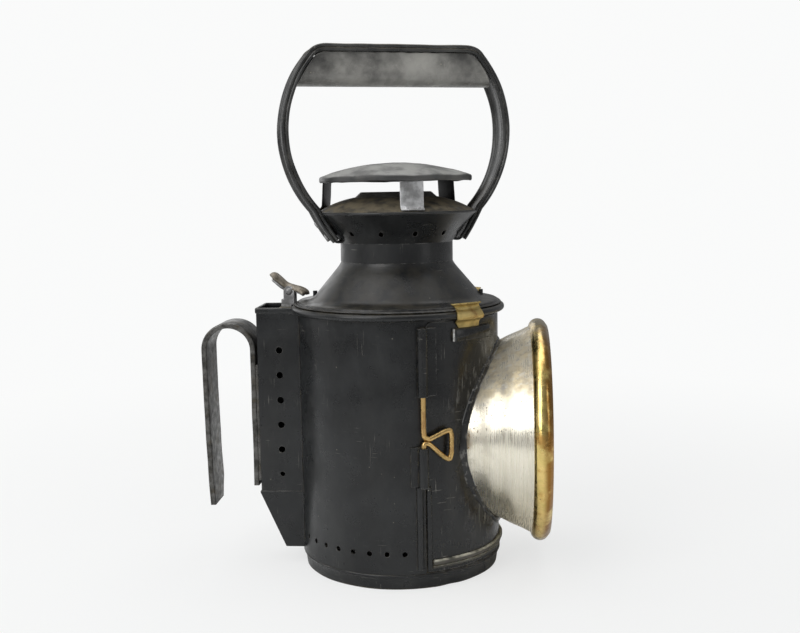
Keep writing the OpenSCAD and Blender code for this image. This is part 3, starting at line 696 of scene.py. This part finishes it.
def foot_band():
    """The foot: a pressed pan whose rim is folded over the body's lower edge, with one knock in it."""
    seam = 8.3
    outside = [(0.01, 0), (56.6, 0)] + arc(56.7, 0.8, 0.8, -90, -10, 5) + [(57.9, 3.5), (58.3, 6.6)]
    lip = arc(BODY_R - 0.2, seam, 0.75, -80, 90, 8)
    inside = [(BODY_R - 0.7, seam + 0.5), (57.2, 6.4), (56.6, 3), (56, 0.9), (0.01, 0.9)]
    points, faces = spun(outside + lip + inside, 216, wobble=0.5, size=22)
    knock = at(BODY_R, 33, 1)
    for p in points:
        reach = max(0.0, 1 - (p - knock).length / 11)
        p -= Vector((p.x, p.y, 0)).normalized() * reach * reach * 1.6
    piece("foot_band", "lantern_body", "black_paint", [(points, faces)], ["base_pan"])


def box_wall():
    """The rear box: one sheet folded round three sides, hemmed at the top and drilled in its two cheeks."""
    half, back, edge = 15.0, BOX_BACK - 0.4, 56.9
    levels = [(BOX_LOW, 0.0), (BOX_TOP - 3.4, 0.0), (BOX_TOP - 3.0, 0.35), (BOX_TOP - 2.6, 0.5),
              (BOX_TOP - 0.7, 0.5), (BOX_TOP - 0.25, 0.35), (BOX_TOP, 0.0)]

    def plan(grow, inset, z):
        w, b, r = half + grow - inset, back + grow - inset, max(1.4 - inset, 0.4)
        corner = arc(-b + r, w - r, r, 90, 180, 5)
        line = [(-edge, w)] + corner + [(x, -y) for x, y in reversed(corner)] + [(-edge, -w)]
        return [Vector((x, y, z)) for x, y in line]

    rings = [plan(g, 0, z) + plan(-g * 0.6, 1.0, z)[::-1] for z, g in levels]
    box = piece("box_wall", "lantern_body", "black_paint", [skin(rings)], ["rear_box"], sharp=30)
    hole_x, first, pitch = -69.2, 129.0, 14.87
    drilled(box, [((hole_x, 0, first - pitch * k), (0, 1, 0), 2.0 if k < 5 else 1.5) for k in range(6)], 60)
    box.data.set_sharp_from_angle(angle=math.radians(30))
    seams = []
    for side in (-1, 1):
        foot = Vector((-math.sqrt(BODY_R ** 2 - half ** 2), side * half, 0))
        path = [foot + Vector((-0.1, side * 0.1, z)) for z in range(11, 151, 3)]
        path = [p + Vector((rough(p, 5, 0.25), rough(p, 5, 0.25, 3), 0)) for p in path]
        seams.append(wire(path, 0.8, 10))
    piece("box_seams", "lantern_body", "black_paint", seams)


def belt_hook():
    """The strap bent over into a hook, with its far lower corner cut off."""
    thick, wide = 3.2, high("belt_hook").y - low("belt_hook").y
    inner, outer = high("belt_hook").x, low("belt_hook").x
    radius = (inner - outer - thick) / 2
    cx, cz = inner - thick / 2 - radius, HOOK_TOP - radius - thick / 2
    path = [(inner - thick / 2, 46.8)] + [(inner - thick / 2, 60 + 6 * i) for i in range(12)]
    path += arc(cx, cz, radius, 0, 180, 28)
    path += [(outer + thick / 2 + 2.2 * t * t, mix(cz, low("belt_hook").z, t))
             for t in [i / 14 for i in range(1, 15)]]
    hook = strip(path, bar(thick, wide, 0.7), lambda p: p, wear=0.25)
    corner = Vector((outer, wide / 2, low("belt_hook").z + 14))
    piece("hook_strap", "lantern_body", "hook_steel", [hook], ["belt_hook"], cut=(corner, (0, 1, -0.40)),
          sharp=50)
    heights = [62, 86, 110]
    heads = [rivet((inner - thick, 0, z), (-1, 0, 0), 3.6, 1.4) for z in heights]
    inside = [rivet((1.2 - BOX_BACK + 0.4, 0, z), (1, 0, 0), 3.0, 1.0) for z in heights]
    piece("hook_rivet_heads", "lantern_body", "hook_steel", heads + inside, ["hook_rivets"])


# ------------------------ thumb latch

LATCH = Vector((-64.3, 0, 162.8))           # pivot of the thumb lever


def thumb_lever():
    """A two-winged cast lever: crowned wings, a hub between the bracket's ears, a rib under the long wing."""
    spine = rounded([(-11.4, 8.9, 0), (-9.6, 10.2, 0), (-5.6, 6.9, 0), (-2.4, 3.6, 0), (2.2, 1.9, 0),
                     (6.6, 0.9, 0), (10.3, -1.3, 0), (10.5, -2.4, 0)], 3)
    tops, ribs = [], []
    count = len(spine) - 1
    for i, p in enumerate(spine):
        t = i / count
        d = (spine[min(i + 1, count)] - spine[max(i - 1, 0)]).normalized()
        up = Vector((-d.y, d.x, 0))
        end = math.sin(math.pi * min(1, min(t, 1 - t) * 5 + 0.12) / 2)
        wide = mix(4.2, 7.0, min(1, abs(t - 0.47) * 2.6) ** 1.3) * end
        thick = mix(1.0, 1.7, end)
        ring = []
        for a in circle(28):
            y = wide * math.copysign(abs(math.cos(a)) ** 0.75, math.cos(a))
            h = thick * math.copysign(abs(math.sin(a)) ** 0.8, math.sin(a))
            q = p + up * (h - (y / 7) ** 2 * 1.0) + Vector((0, 0, y))
            ring.append(Vector((LATCH.x + q.x, q.z, LATCH.z + q.y)))
        tops.append(ring)
        if 0.06 < t < 0.92:
            deep = mix(1.3, 2.6, math.sin(math.pi * min(1, t * 1.9)) ** 0.6) if t < 0.5 else 1.5
            ring = []
            for a in circle(20):
                down = 1.2 + deep * 0.5 - deep * math.sin(a) * 0.6
                q = p - up * down + Vector((0, 0, wide * 0.72 * math.cos(a)))
                ring.append(Vector((LATCH.x + q.x, q.z, LATCH.z + q.y)))
            ribs.append(ring)
    hub = [[LATCH + Vector((r * math.cos(a), y, r * math.sin(a))) for a in circle(40)]
           for r, y in [(2.0, -2.25), (2.9, -2.25), (3.1, -2.0), (3.1, 2.0), (2.9, 2.25), (2.0, 2.25)]]
    neck = [[LATCH + Vector((x, y, z)) for x, y in [(-2.6, -2.1), (2.4, -2.1), (2.4, 2.1), (-2.6, 2.1)]]
            for z in (0.6, 2.4)]
    piece("lever_wings", "latch_lever", "lever_tan", [skin(tops)], ["thumb_lever"], sharp=60)
    piece("lever_hub", "latch_lever", "bare_steel", [skin(ribs), skin(hub), skin(neck)], bevel=0.25, sharp=50)


def latch_spring():
    """A torsion spring: coils on both sides of the hub and two legs that bear on the bracket."""
    skins = []
    for side in (-1, 1):
        coil = [LATCH + Vector((2.1 * math.cos(a), side * (2.55 + 0.62 * a / 9.4), 2.1 * math.sin(a)))
                for a in [0.35 * i - 1.2 for i in range(33)]]
        leg = [LATCH + Vector((-2.4, side * 2.6, -3.4)), LATCH + Vector((-2.3, side * 2.6, -1.4))]
        skins.append(wire(leg[:1] + coil, 0.33, 8))
    piece("torsion_spring", "lantern_body", "spring_steel", skins, ["latch_spring"])
    ends = [rivet(LATCH + Vector((0, side * 4.7, 0)), (0, side, 0), 2.1, 1.3) for side in (-1, 1)]
    shaft = wire([LATCH + Vector((0, y, 0)) for y in (-4.9, -1.6, 1.6, 4.9)], 1.45, 24)
    piece("latch_axle", "lantern_body", "bare_steel", [shaft] + ends, ["latch_pin"])


# ------------------------ hinge and door


def on_hinge(p):
    """Places a point given along the door, outwards and up from the hinge line."""
    a, tilt = math.radians(HINGE_AZ), math.radians(-6)
    across, out = p.x * math.cos(tilt) - p.y * math.sin(tilt), p.x * math.sin(tilt) + p.y * math.cos(tilt)
    along, away = Vector((math.cos(a), math.sin(a), 0)), Vector((math.sin(a), -math.cos(a), 0))
    return at(HINGE_R, HINGE_AZ, p.z) + along * across + away * out


def hinge_wire():
    """One length of wire: down the hinge, out into a three-cornered finger loop and on down."""
    bends = [(0, 122), (0, 90.5), (0.4, 87.4), (3.2, 86.0), (12.4, 89.8), (15.4, 90.2), (16.2, 87.0),
             (15.9, 77.0), (15.0, 73.9), (12.4, 74.8), (3.0, 83.6), (0.2, 84.0), (0, 81.2), (0, 64)]
    path = rounded(spaced([(x, 0.12 * (x / 16), z) for x, z in bends], 3.0), 2)
    bent = wire([on_hinge(p) for p in path], 1.45, 18)
    piece("hinge_wire", "wire_pin", "wire_brass", [bent], ["hinge_pin"])


def door_clip(name, side):
    """A sprung strip that hooks over the body's top bead and flares out into a thumb edge."""
    r = BODY_R
    face = [(r + 0.9, 145.6), (r + 1.0, 148.2), (r + 2.2, 149.5), (r + 4.0, 150.2), (r + 4.9, 151.8),
            (r + 4.9, 153.4), (r + 4.2, 154.9), (r + 3.1, 156.0), (r + 3.0, 157.1), (r + 3.9, 158.5),
            (r + 5.6, 159.2)]
    face = spaced_flat(face, 0.7)
    low_z, high_z = face[0][1], face[-1][1]
    rings = []
    for i in range(25):
        u = i / 24
        ring = []
        for outline, lift in ((face, 0.0), (beside(face, 0.8)[::-1], 1.0)):
            for x, z in outline:
                t = (z - low_z) / (high_z - low_z)
                start = 38.4 - 3.3 * math.sin(math.pi * min(1, t * 0.95)) - 6.0 * max(0, t - 0.80) / 0.20
                waist = math.sin(math.pi * min(1, max(0, t - 0.45) * 1.4))
                stop = 53.4 - 1.6 * waist - 2.4 * max(0, t - 0.8) / 0.2
                azimuth = mix(start, stop, u)
                p = at(x, azimuth, z)
                edge = 0.35 if i in (0, 24) else 0.0
                azimuth += rough(p, 1.6, edge, 4.0)
                p = at(x + rough(p, 6, 0.18), azimuth, z + rough(p, 4, 0.15, 2.0))
                ring.append(Vector((p.x, p.y * side, p.z)))
        rings.append(ring)
    node = name.replace("brass_clip_", "") + "_clip"
    piece(name, "door", "aged_brass", [skin(rings)], [node], bevel=0.16, sharp=50)


def clip_straps():
    """Short straps across the door under the clips, soldered down, with their near ends bare."""
    start, stop = 34.8, 62.8                # azimuths of a strap's ends
    skins = []
    for side in (-1, 1):
        rings = []
        for i in range(33):
            azimuth = mix(start, stop, i / 32)
            end = 0.5 if i in (0, 32) else 0.0
            section = [(BODY_R - 0.05, 138.4), (BODY_R + 1.7 - end, 138.5), (BODY_R + 2.3 - end, 139.1),
                       (BODY_R + 2.4 - end, 142), (BODY_R + 2.2 - end, 144.9), (BODY_R + 1.5 - end, 145.6),
                       (BODY_R - 0.05, 145.8)]
            ring = [at(r, azimuth, z) for r, z in section]
            rings.append([Vector((p.x, p.y * side, p.z)) + Vector((0, 0, rough(p, 5, 0.2))) for p in ring])
        skins.append(skin(rings))
    piece("clip_straps", "door", "gloss_paint", skins, ["clip_brackets"], bevel=0.2, sharp=45)
    ends = []
    for side in (-1, 1):
        path = [at(BODY_R + 1.5, start, z) for z in (138.9, 140.5, 142.2, 144, 145.2)]
        ends.append(wire([Vector((p.x, p.y * side, p.z)) for p in path], 0.65, 10))
    piece("strap_end_solder", "door", "bare_solder", ends)


def door_ledge():
    """A rolled edge round the foot of the door, dusty on top, with a folded hem below it."""
    skins = []
    for radius, height, thick in ((BODY_R + 0.6, 15.3, 1.5), (BODY_R + 0.35, 12.6, 0.8)):
        path = [at(radius + rough(at(60, a, 0), 9, 0.15), a, height + rough(at(60, a, 0), 11, 0.2, 3.0))
                for a in range(22, 159, 2)]
        skins.append(wire(path, thick, 12))
    piece("door_roll", "door", "ledge_dust", skins, ["door_ledge"])


def crossing(angle, spread=0.0):
    """A point where the hood meets the body's cylinder, at an angle round the lens axis, or beside it."""
    x = 45.0
    c, s = math.cos(angle), math.sin(angle)
    for _ in range(30):
        x = math.sqrt(max(BODY_R ** 2 - ((hood(x) + spread) * c) ** 2, 0))
    r = hood(x) + spread
    return Vector((x, r * c, LENS_Z + r * s))


def solder_fillet():
    """Lumpy solder in the corner between the hood and the door."""
    rings = []
    for a in circle(360):
        root = crossing(a)
        wave = 1 + rough(root, 12, 0.30) + rough(root, 4, 0.12, 5.0)
        ahead = Vector((1, HOOD_SLOPE * math.cos(a), HOOD_SLOPE * math.sin(a))).normalized()
        out = Vector((0, math.cos(a), math.sin(a)))
        reach = max(0.5, 1.5 * wave)
        wall = crossing(a, 3.2 * max(0.4, wave))
        face = Vector((wall.x, wall.y, 0)).normalized()
        rings.append([root - Vector((0.5, 0, 0)) - out * 0.4, root + ahead * reach + out * 0.02,
                      root + ahead * reach * 0.45 + out * 0.55,
                      root.lerp(wall, 0.5) + face * (0.7 + 0.5 * wave),
                      wall + face * 0.12, wall - face * 0.3])
    piece("hood_solder", "door", "solder_grey", [skin(rings, loop=True)], ["hood_collar"], sharp=80)


def hood_shell():
    """The nickel hood: a rolled cone, a little out of true, that runs into the bezel."""
    wall, back, front = 0.9, low("hood_cone").x, HOOD_FRONT
    count = 48
    stations = [mix(back, front, i / count) for i in range(count + 1)]
    outside = [(hood(x) + 0.12 * math.sin(x * 0.5), x) for x in stations]
    inside = [(hood(x) - wall, x) for x in stations[::-8]]
    piece("hood_shell", "door", "nickel", [spun(outside + inside, 240, 0.35, 30, along_lens)], ["hood_cone"])


def bezel():
    """The brass ring: a fat rolled bead, its front edge turned in flat over the glass."""
    across, deep = 5.0, 4.6
    r = BEZEL_R - deep
    roll = [(r + deep * math.cos(a), BEZEL_X + across * math.sin(a)) for a in
            [math.radians(mix(-90, 62, i / 26)) for i in range(27)]]
    lip = [(r + 1.3, 5.1), (r + 0.6, 5.5), (r - 0.5, 5.5), (r - 1.4, 5.2), (r - 1.7, 4.7), (r - 1.9, 4.1),
           (r - 0.5, 3.7), (r - 0.4, -0.3), (r + 0.4, -2.4)]
    lip = [(radius, BEZEL_X + x) for radius, x in lip]
    piece("bezel_roll", "door", "bezel_brass", [spun(roll + lip, 256, 0.25, 16, along_lens)], ["bezel_ring"])


def lens():
    """A shallow crowned glass with a ground edge."""
    rim, crown = BEZEL_R - 5.4, high("lens_glass").x

    def dome(r, x, radius):
        return x - (radius - math.sqrt(radius * radius - r * r))
    steps = [0.01] + [rim * 0.96 * i / 9 for i in range(1, 10)]
    front = [(r, dome(r, crown, 482)) for r in steps]
    edge = [(rim - 0.6, crown - 4.3), (rim - 0.1, crown - 4.9), (rim, crown - 5.8), (rim - 0.1, crown - 7.4),
            (rim - 0.6, crown - 7.9)]
    back = [(r, dome(r, crown - 4.4, 480)) for r in steps[::-1]]
    disc = spun(front + edge + back, 192, 0, 20, along_lens)
    piece("lens_disc", "door", "lens_glass", [disc], ["lens_glass"], sharp=60)


# ------------------------ roof and cap

CAP_RIM = CAP_TOP - CAP_RISE                # height of the middle of the cap's rolled rim
CAP_DOME = 7.6                              # rise of the dome above the shoulder of its rim
CAP_SPHERE = ((CAP_R - 0.6) ** 2 + CAP_DOME ** 2) / (2 * CAP_DOME)


def cap():
    """The rain cap: a dished disc, knocked about, with its edge turned down and rolled under."""
    def dome(r, sink=0.0):
        return CAP_TOP - CAP_SPHERE + math.sqrt((CAP_SPHERE - sink) ** 2 - r * r)
    steps = [0.01, 3, 7, 11, 15, 19, 23, 27, 31, 34, 37, 39.5, 41.5, 43]
    outer = [(r, dome(r)) for r in steps]
    roll = [(43.9, 1.75), (44.4, 1.3), (44.6, 0.6), (44.6, -0.6), (44.4, -1.3), (43.8, -1.7), (43.0, -1.5),
            (42.7, -0.6), (42.6, 0.7)]
    roll = [(r, CAP_RIM + 1.4 + z) for r, z in roll]
    inner = [(r, dome(r, 1.0)) for r in steps[:-2][::-1]]
    points, faces = spun(outer + roll + inner, 180, 0.5, 18)
    for p in points:
        rim = min(1.0, p.xy.length / CAP_R)
        p.z += rough(Vector((p.x, p.y, 0)), 16, 0.8) * rim * rim + rough(Vector((p.x, p.y, 9)), 6, 0.2)
    piece("cap_disc", "turning_top", "cap_dust", [(points, faces)], ["cap_dome"], sharp=70)


def cap_strap(side, turn, slot):
    """A bent strap that holds the cap: a foot on the cover, a leaning upright, a tab under the dome."""
    path = rounded([(35.4, 230.8, 0), (40.4, 229.2, 0), (42.0, 228.3, 0), (42.5, 226.5, 0), (43.5, 213.3, 0),
                    (43.9, 211.9, 0), (45.9, 210.2, 0)], 3)
    path = [(p.x, p.y) for p in spaced(path, 1.2)]
    azimuth, pad_r = TOP_TURN + turn, 44.9

    def place(p):
        q = p + Vector((rough(p, 8, 0.25), rough(p, 9, 0.2, 4.0), 0))
        return at(1, azimuth, 0) * q.x + at(1, azimuth + 90, 0) * q.y + Vector((0, 0, q.z))

    upright = strip(path, bar(0.95, 13.3, 0.4), place, 0.1)
    piece("strap_" + side, "turning_top", slot, [upright], ["cap_strap_" + side], sharp=50)
    return [rivet(at(pad_r, azimuth + math.degrees(y / pad_r), 211.4), at(0.55, azimuth, 0.83), 1.3, 0.8)
            for y in (-3.4, 3.4)]


def cap_straps():
    pads = cap_strap("front", -2, "bare_steel")
    pads += cap_strap("left", -120, "black_paint")
    pads += cap_strap("right", 120, "black_paint")
    piece("strap_rivets", "turning_top", "bare_steel", pads, ["cap_rivets"])


# ------------------------ bail and grip

BAIL_ARC = 66.7                             # radius of the bail's side arcs, along its middle
BAIL_Z = 255.0                              # height of those arcs' centre
BAIL_S = -1.3                               # offset of that centre across the bail
BAIL_FLAT = BAIL_TOP - 1.0                  # middle of the bail's flat top
BAIL_WIDE = 20.0


def bail_path():
    """Half of the bail's middle line, from its foot up to the flat top, and then the other half."""
    high_angle = math.degrees(math.asin((BAIL_FLAT - 0.8 - BAIL_Z) / BAIL_ARC))
    a = math.radians(high_angle)
    side = arc(BAIL_S, BAIL_Z, BAIL_ARC, -41.6, high_angle - 6, 36)
    corner = bend((BAIL_S + BAIL_ARC * math.cos(a - 0.07), BAIL_Z + BAIL_ARC * math.sin(a - 0.07)),
                  (BAIL_S + BAIL_ARC * math.cos(a) + 0.6, BAIL_FLAT - 0.1),
                  (BAIL_S + BAIL_ARC * math.cos(a) - 6, BAIL_FLAT), 9)
    half = bend((38.0, 192.9), (43.3, 200.2), side[0], 8)[:-1] + side + corner
    flat = [(mix(corner[-1][0], -corner[-1][0], i / 24), BAIL_FLAT) for i in range(1, 24)]
    return half + flat + [(-x, z) for x, z in reversed(half)]


def bail_section():
    """Across the bail: a thin web between two wired edges, each with a groove down its outer face."""
    w = BAIL_WIDE / 2
    edge = [(0.55, w - 3.4), (1.0, w - 2.9), (1.6, w - 2.6), (2.05, w - 2.0), (2.15, w - 1.1),
            (1.85, w - 0.35), (1.2, w), (0.6, w - 0.12), (0.25, w - 0.55), (0, w - 0.75)]
    edge += [(-o, c) for o, c in reversed(edge[:-1])]
    return edge + [(-o, -c) for o, c in edge]


def bail():
    path = bail_path()

    def place(p):
        q = p + Vector((0, rough(p, 30, 0.5), 0))
        return turned(q)
    band = strip(path, bail_section(), place, wear=0.3)
    piece("bail_band", "turning_top", "worn_strap", [band], ["bail_strap", "bail_edge_wires"], sharp=75)
    feet, heads = [], []
    for side in (-1, 1):
        toe = [(38.6, 193.4), (37.4, 192.2), (35.6, 191.9), (33.4, 192.2)]
        toe = [(x * side, z) for x, z in spaced_flat(toe)]
        feet.append(strip(toe, bar(1.2, 12.5, 0.4), turned, 0.1))
        for z in (197.5, 205):
            spot = turned(Vector(((((z - 148.5) * 0.76) + 4.6) * side, 0, z - 3.1)))
            heads.append(rivet(spot, turned(Vector((0.82 * side, 0, -0.57))), 2.2, 0.6))
    piece("bail_toes", "turning_top", "black_paint", feet, ["bail_feet"])
    piece("bail_rivet_heads", "turning_top", "bare_steel", heads, ["bail_rivets"])


def grip():
    """The grip: a sheet folded into a gutter under the bail's flat top, its ends cut to the bail's slope."""
    inner = [p for p in beside(bail_path(), 2.3) if p[0] > 0 and p[1] > 262]

    def reach(z):
        """Half the space inside the bail at a height."""
        for (x1, z1), (x2, z2) in zip(inner, inner[1:]):
            if z1 <= z <= z2:
                return mix(x1, x2, (z - z1) / (z2 - z1))
        return inner[-1][0] if z > inner[-1][1] else inner[0][0]

    radius, centre, top, wall = 8.4, 289.0, BAIL_TOP - 3.4, 0.9

    def gutter(r):
        left = [(-r, mix(top, centre, i / 6)) for i in range(6)]
        return left + arc(0, centre, r, 180, 360, 26) + [(r, mix(centre, top, i / 6)) for i in range(1, 7)]

    ring = gutter(radius) + gutter(radius - wall)[::-1]
    rings = []
    for i in range(61):
        u = mix(-1, 1, i / 60)
        row = []
        for y, z in ring:
            s = u * (reach(min(z, top)) - 0.4)
            dent = rough(Vector((s, y, z)), 13, 0.45) + rough(Vector((s, y, z)), 40, 0.5, 6.0)
            squeeze = 1 - 0.05 * (abs(y) / radius) * max(0, (z - centre) / 12)
            edge = rough(Vector((s, 0, 0)), 5, 0.35) * (z > top - 1)
            bulge = math.copysign(dent, y) * min(1, abs(y) / 3)
            row.append(turned(Vector((s, y * squeeze + bulge, z + edge))))
        rings.append(row)
    piece("grip_sheet", "turning_top", "grip_paint", [skin(rings)], ["grip_shell"], bevel=0.2, sharp=60)


# ------------------------ candle


def candle():
    """The candle's head above its tube: a softened shoulder, a melt pool and two runs of wax."""
    base, shoulder, r = 37.0, 58.0, 10.4
    outer = [(0.01, base), (r, base), (r, shoulder + 0.5), (9.6, 60.6), (8.6, 62.9), (7.4, 64.6), (6.3, 65.6),
             (5.3, 65.8)]
    pool = [(4.6, 65.2), (3.6, 64.4), (2.2, 64.0), (0.01, 63.9)]
    points, faces = spun(outer + pool, 96, 0.6, 5)
    for p in points:
        for azimuth in (60, 205):
            run = at(1, azimuth, 0)
            apart = (Vector((p.x, p.y, 0)).normalized() - run).length
            if p.z > shoulder + 0.6 and p.xy.length > 4:
                p += run * max(0.0, 1 - apart / 0.22) * 0.9
    piece("candle_wax", "lantern_body", "wax", [(points, faces)], ["candle"], sharp=70)
    curl = rounded([(0, 0, 63.4), (0.1, 0.1, 67), (0.5, 0.1, 70), (1.3, 0.2, 72.2), (2.4, 0.2, 72.9)], 3)
    strands = []
    for k in range(3):
        angles = [i * 0.7 + k * 2.1 for i in range(len(curl))]
        strand = [p + Vector((math.cos(a), math.sin(a), 0)) * 0.42 for p, a in zip(curl, angles)]
        strands.append(wire(strand, 0.5, 8))
    piece("candle_wick", "lantern_body", "wick", strands, ["wick"])


# ------------------------ stage


def softbox(name, place, aim, size, power):
    """A white panel of light in metres and watts, turned to its aim and out of the camera's sight."""
    data = bpy.data.lights.new(name, "AREA")
    data.shape, data.size, data.size_y, data.energy = "RECTANGLE", *size, power
    lamp = bpy.data.objects.new(name, data)
    lamp.location = place
    lamp.rotation_euler = (Vector(aim) - Vector(place)).to_track_quat("-Z", "Y").to_euler()
    lamp.visible_camera = False
    bpy.context.scene.collection.objects.link(lamp)


PAPER_WHITE = (0.955, 0.96, 0.958, 1)       # the backdrop as the camera sees it
ROOM_GREY = (0.30, 0.305, 0.31, 1)          # the room as the object sees it


def studio():
    """A white backdrop, a dimmer room round it, five soft panels and the floor."""
    scene = bpy.context.scene
    scene.view_settings.view_transform = "Standard"
    world = bpy.data.worlds.new("studio")
    scene.world = world
    world.use_nodes = True
    tree = world.node_tree
    tree.nodes.clear()
    out, seen, light, pick, path = [tree.nodes.new("ShaderNode" + kind) for kind in
                                    ("OutputWorld", "Background", "Background", "MixShader", "LightPath")]
    seen.inputs["Color"].default_value = PAPER_WHITE
    light.inputs["Color"].default_value = ROOM_GREY
    tree.links.new(path.outputs["Is Camera Ray"], pick.inputs[0])
    tree.links.new(light.outputs[0], pick.inputs[1])
    tree.links.new(seen.outputs[0], pick.inputs[2])
    tree.links.new(pick.outputs[0], out.inputs[0])

    softbox("left_box", (-0.97, -1.20, 1.12), (0, 0, 0.30), (1.15, 1.60), 18)
    softbox("right_box", (1.45, -0.65, 0.60), (0, 0, 0.12), (0.5, 1.1), 2.2)
    softbox("left_wall", (-2.1, 0.35, 0.75), (0, 0, 0.15), (1.4, 1.4), 6)
    softbox("back_wall", (-1.0, 1.6, 0.55), (0, 0, 0.20), (1.5, 1.2), 5)
    softbox("top_box", (-0.1, 0.15, 1.5), (0, 0, 0.1), (1.7, 1.3), 12.5)

    rings = [[Vector((r * math.cos(a), r * math.sin(a), 0)) for a in circle(96)]
             for r in (1, 500, 900, 1600, 3000, 6000)]
    points, faces = skin(rings, caps=False)
    mesh = bpy.data.meshes.new("floor")
    mesh.from_pydata([p * MM for p in points], [], faces + [tuple(range(96))])
    floor = bpy.data.objects.new("floor", mesh)
    scene.collection.objects.link(floor)
    mesh.materials.append(floor_paper())


def floor_paper():
    """White paper that runs on out of sight. Reflections see it end at a dim room."""
    s = Surface("floor_paper")
    s.colour = s.blend(s.patches(1.5, 0.3, 0.7), (0.86, 0.865, 0.86), (0.875, 0.88, 0.875))
    s.done(0.9)
    s.put("Specular IOR Level", 0.15)
    distance = s.add("VectorMath", {0: s.place}, operation="LENGTH").outputs["Value"]
    near = s.add("Emission", {"Color": (0.92, 0.925, 0.923, 1)})
    far = s.add("Emission", {"Color": PAPER_WHITE})
    dim = s.add("Emission", {"Color": (0.38, 0.38, 0.385, 1)})
    lifted = s.add("MixShader", {0: 0.75, 1: s.shader.outputs[0], 2: near.outputs[0]})
    seen = s.add("MixShader", {0: s.step(distance, 0.14, 0.70), 1: lifted.outputs[0], 2: far.outputs[0]})
    table = s.add("MixShader", {0: s.step(distance, 0.52, 0.60), 1: s.shader.outputs[0], 2: dim.outputs[0]})
    direct = s.add("LightPath").outputs["Is Camera Ray"]
    floor = s.add("MixShader", {0: direct, 1: table.outputs[0], 2: seen.outputs[0]})
    s.tree.links.new(floor.outputs[0], s.tree.nodes["Material Output"].inputs[0])
    return s.material


EYE = Vector((50.0, -630.2, 222.5))         # where the camera stands
EYE_DOWN, EYE_ROLL, EYE_LEFT = 6.84, 0.97, 4.306      # how it is turned, in degrees


def camera():
    data = bpy.data.cameras.new("camera")
    data.lens, data.sensor_width = 48.2, 36
    data.clip_start, data.clip_end = 0.01, 50
    eye = bpy.data.objects.new("camera", data)
    eye.location = EYE * MM
    eye.rotation_euler = Euler([math.radians(angle) for angle in (90 - EYE_DOWN, EYE_ROLL, EYE_LEFT)])
    bpy.context.scene.collection.objects.link(eye)
    bpy.context.scene.camera = eye


camera()
studio()
foot_band()
box_wall()
belt_hook()
thumb_lever()
latch_spring()
hinge_wire()
door_clip("brass_clip_near", 1)
door_clip("brass_clip_far", -1)
clip_straps()
door_ledge()
solder_fillet()
hood_shell()
bezel()
lens()
cap()
cap_straps()
bail()
grip()
candle()
for name in ("box_hopper", "hook_backplate", "latch_bracket", "lower_knuckle", "upper_knuckle", "door_panel"):
    eased(name, 0.22)

for name, node in frame["nodes"].items():
    if not node.hide_render:
        for place in node.material_slots:
            place.material = finish_of(SLOT_OF[name])
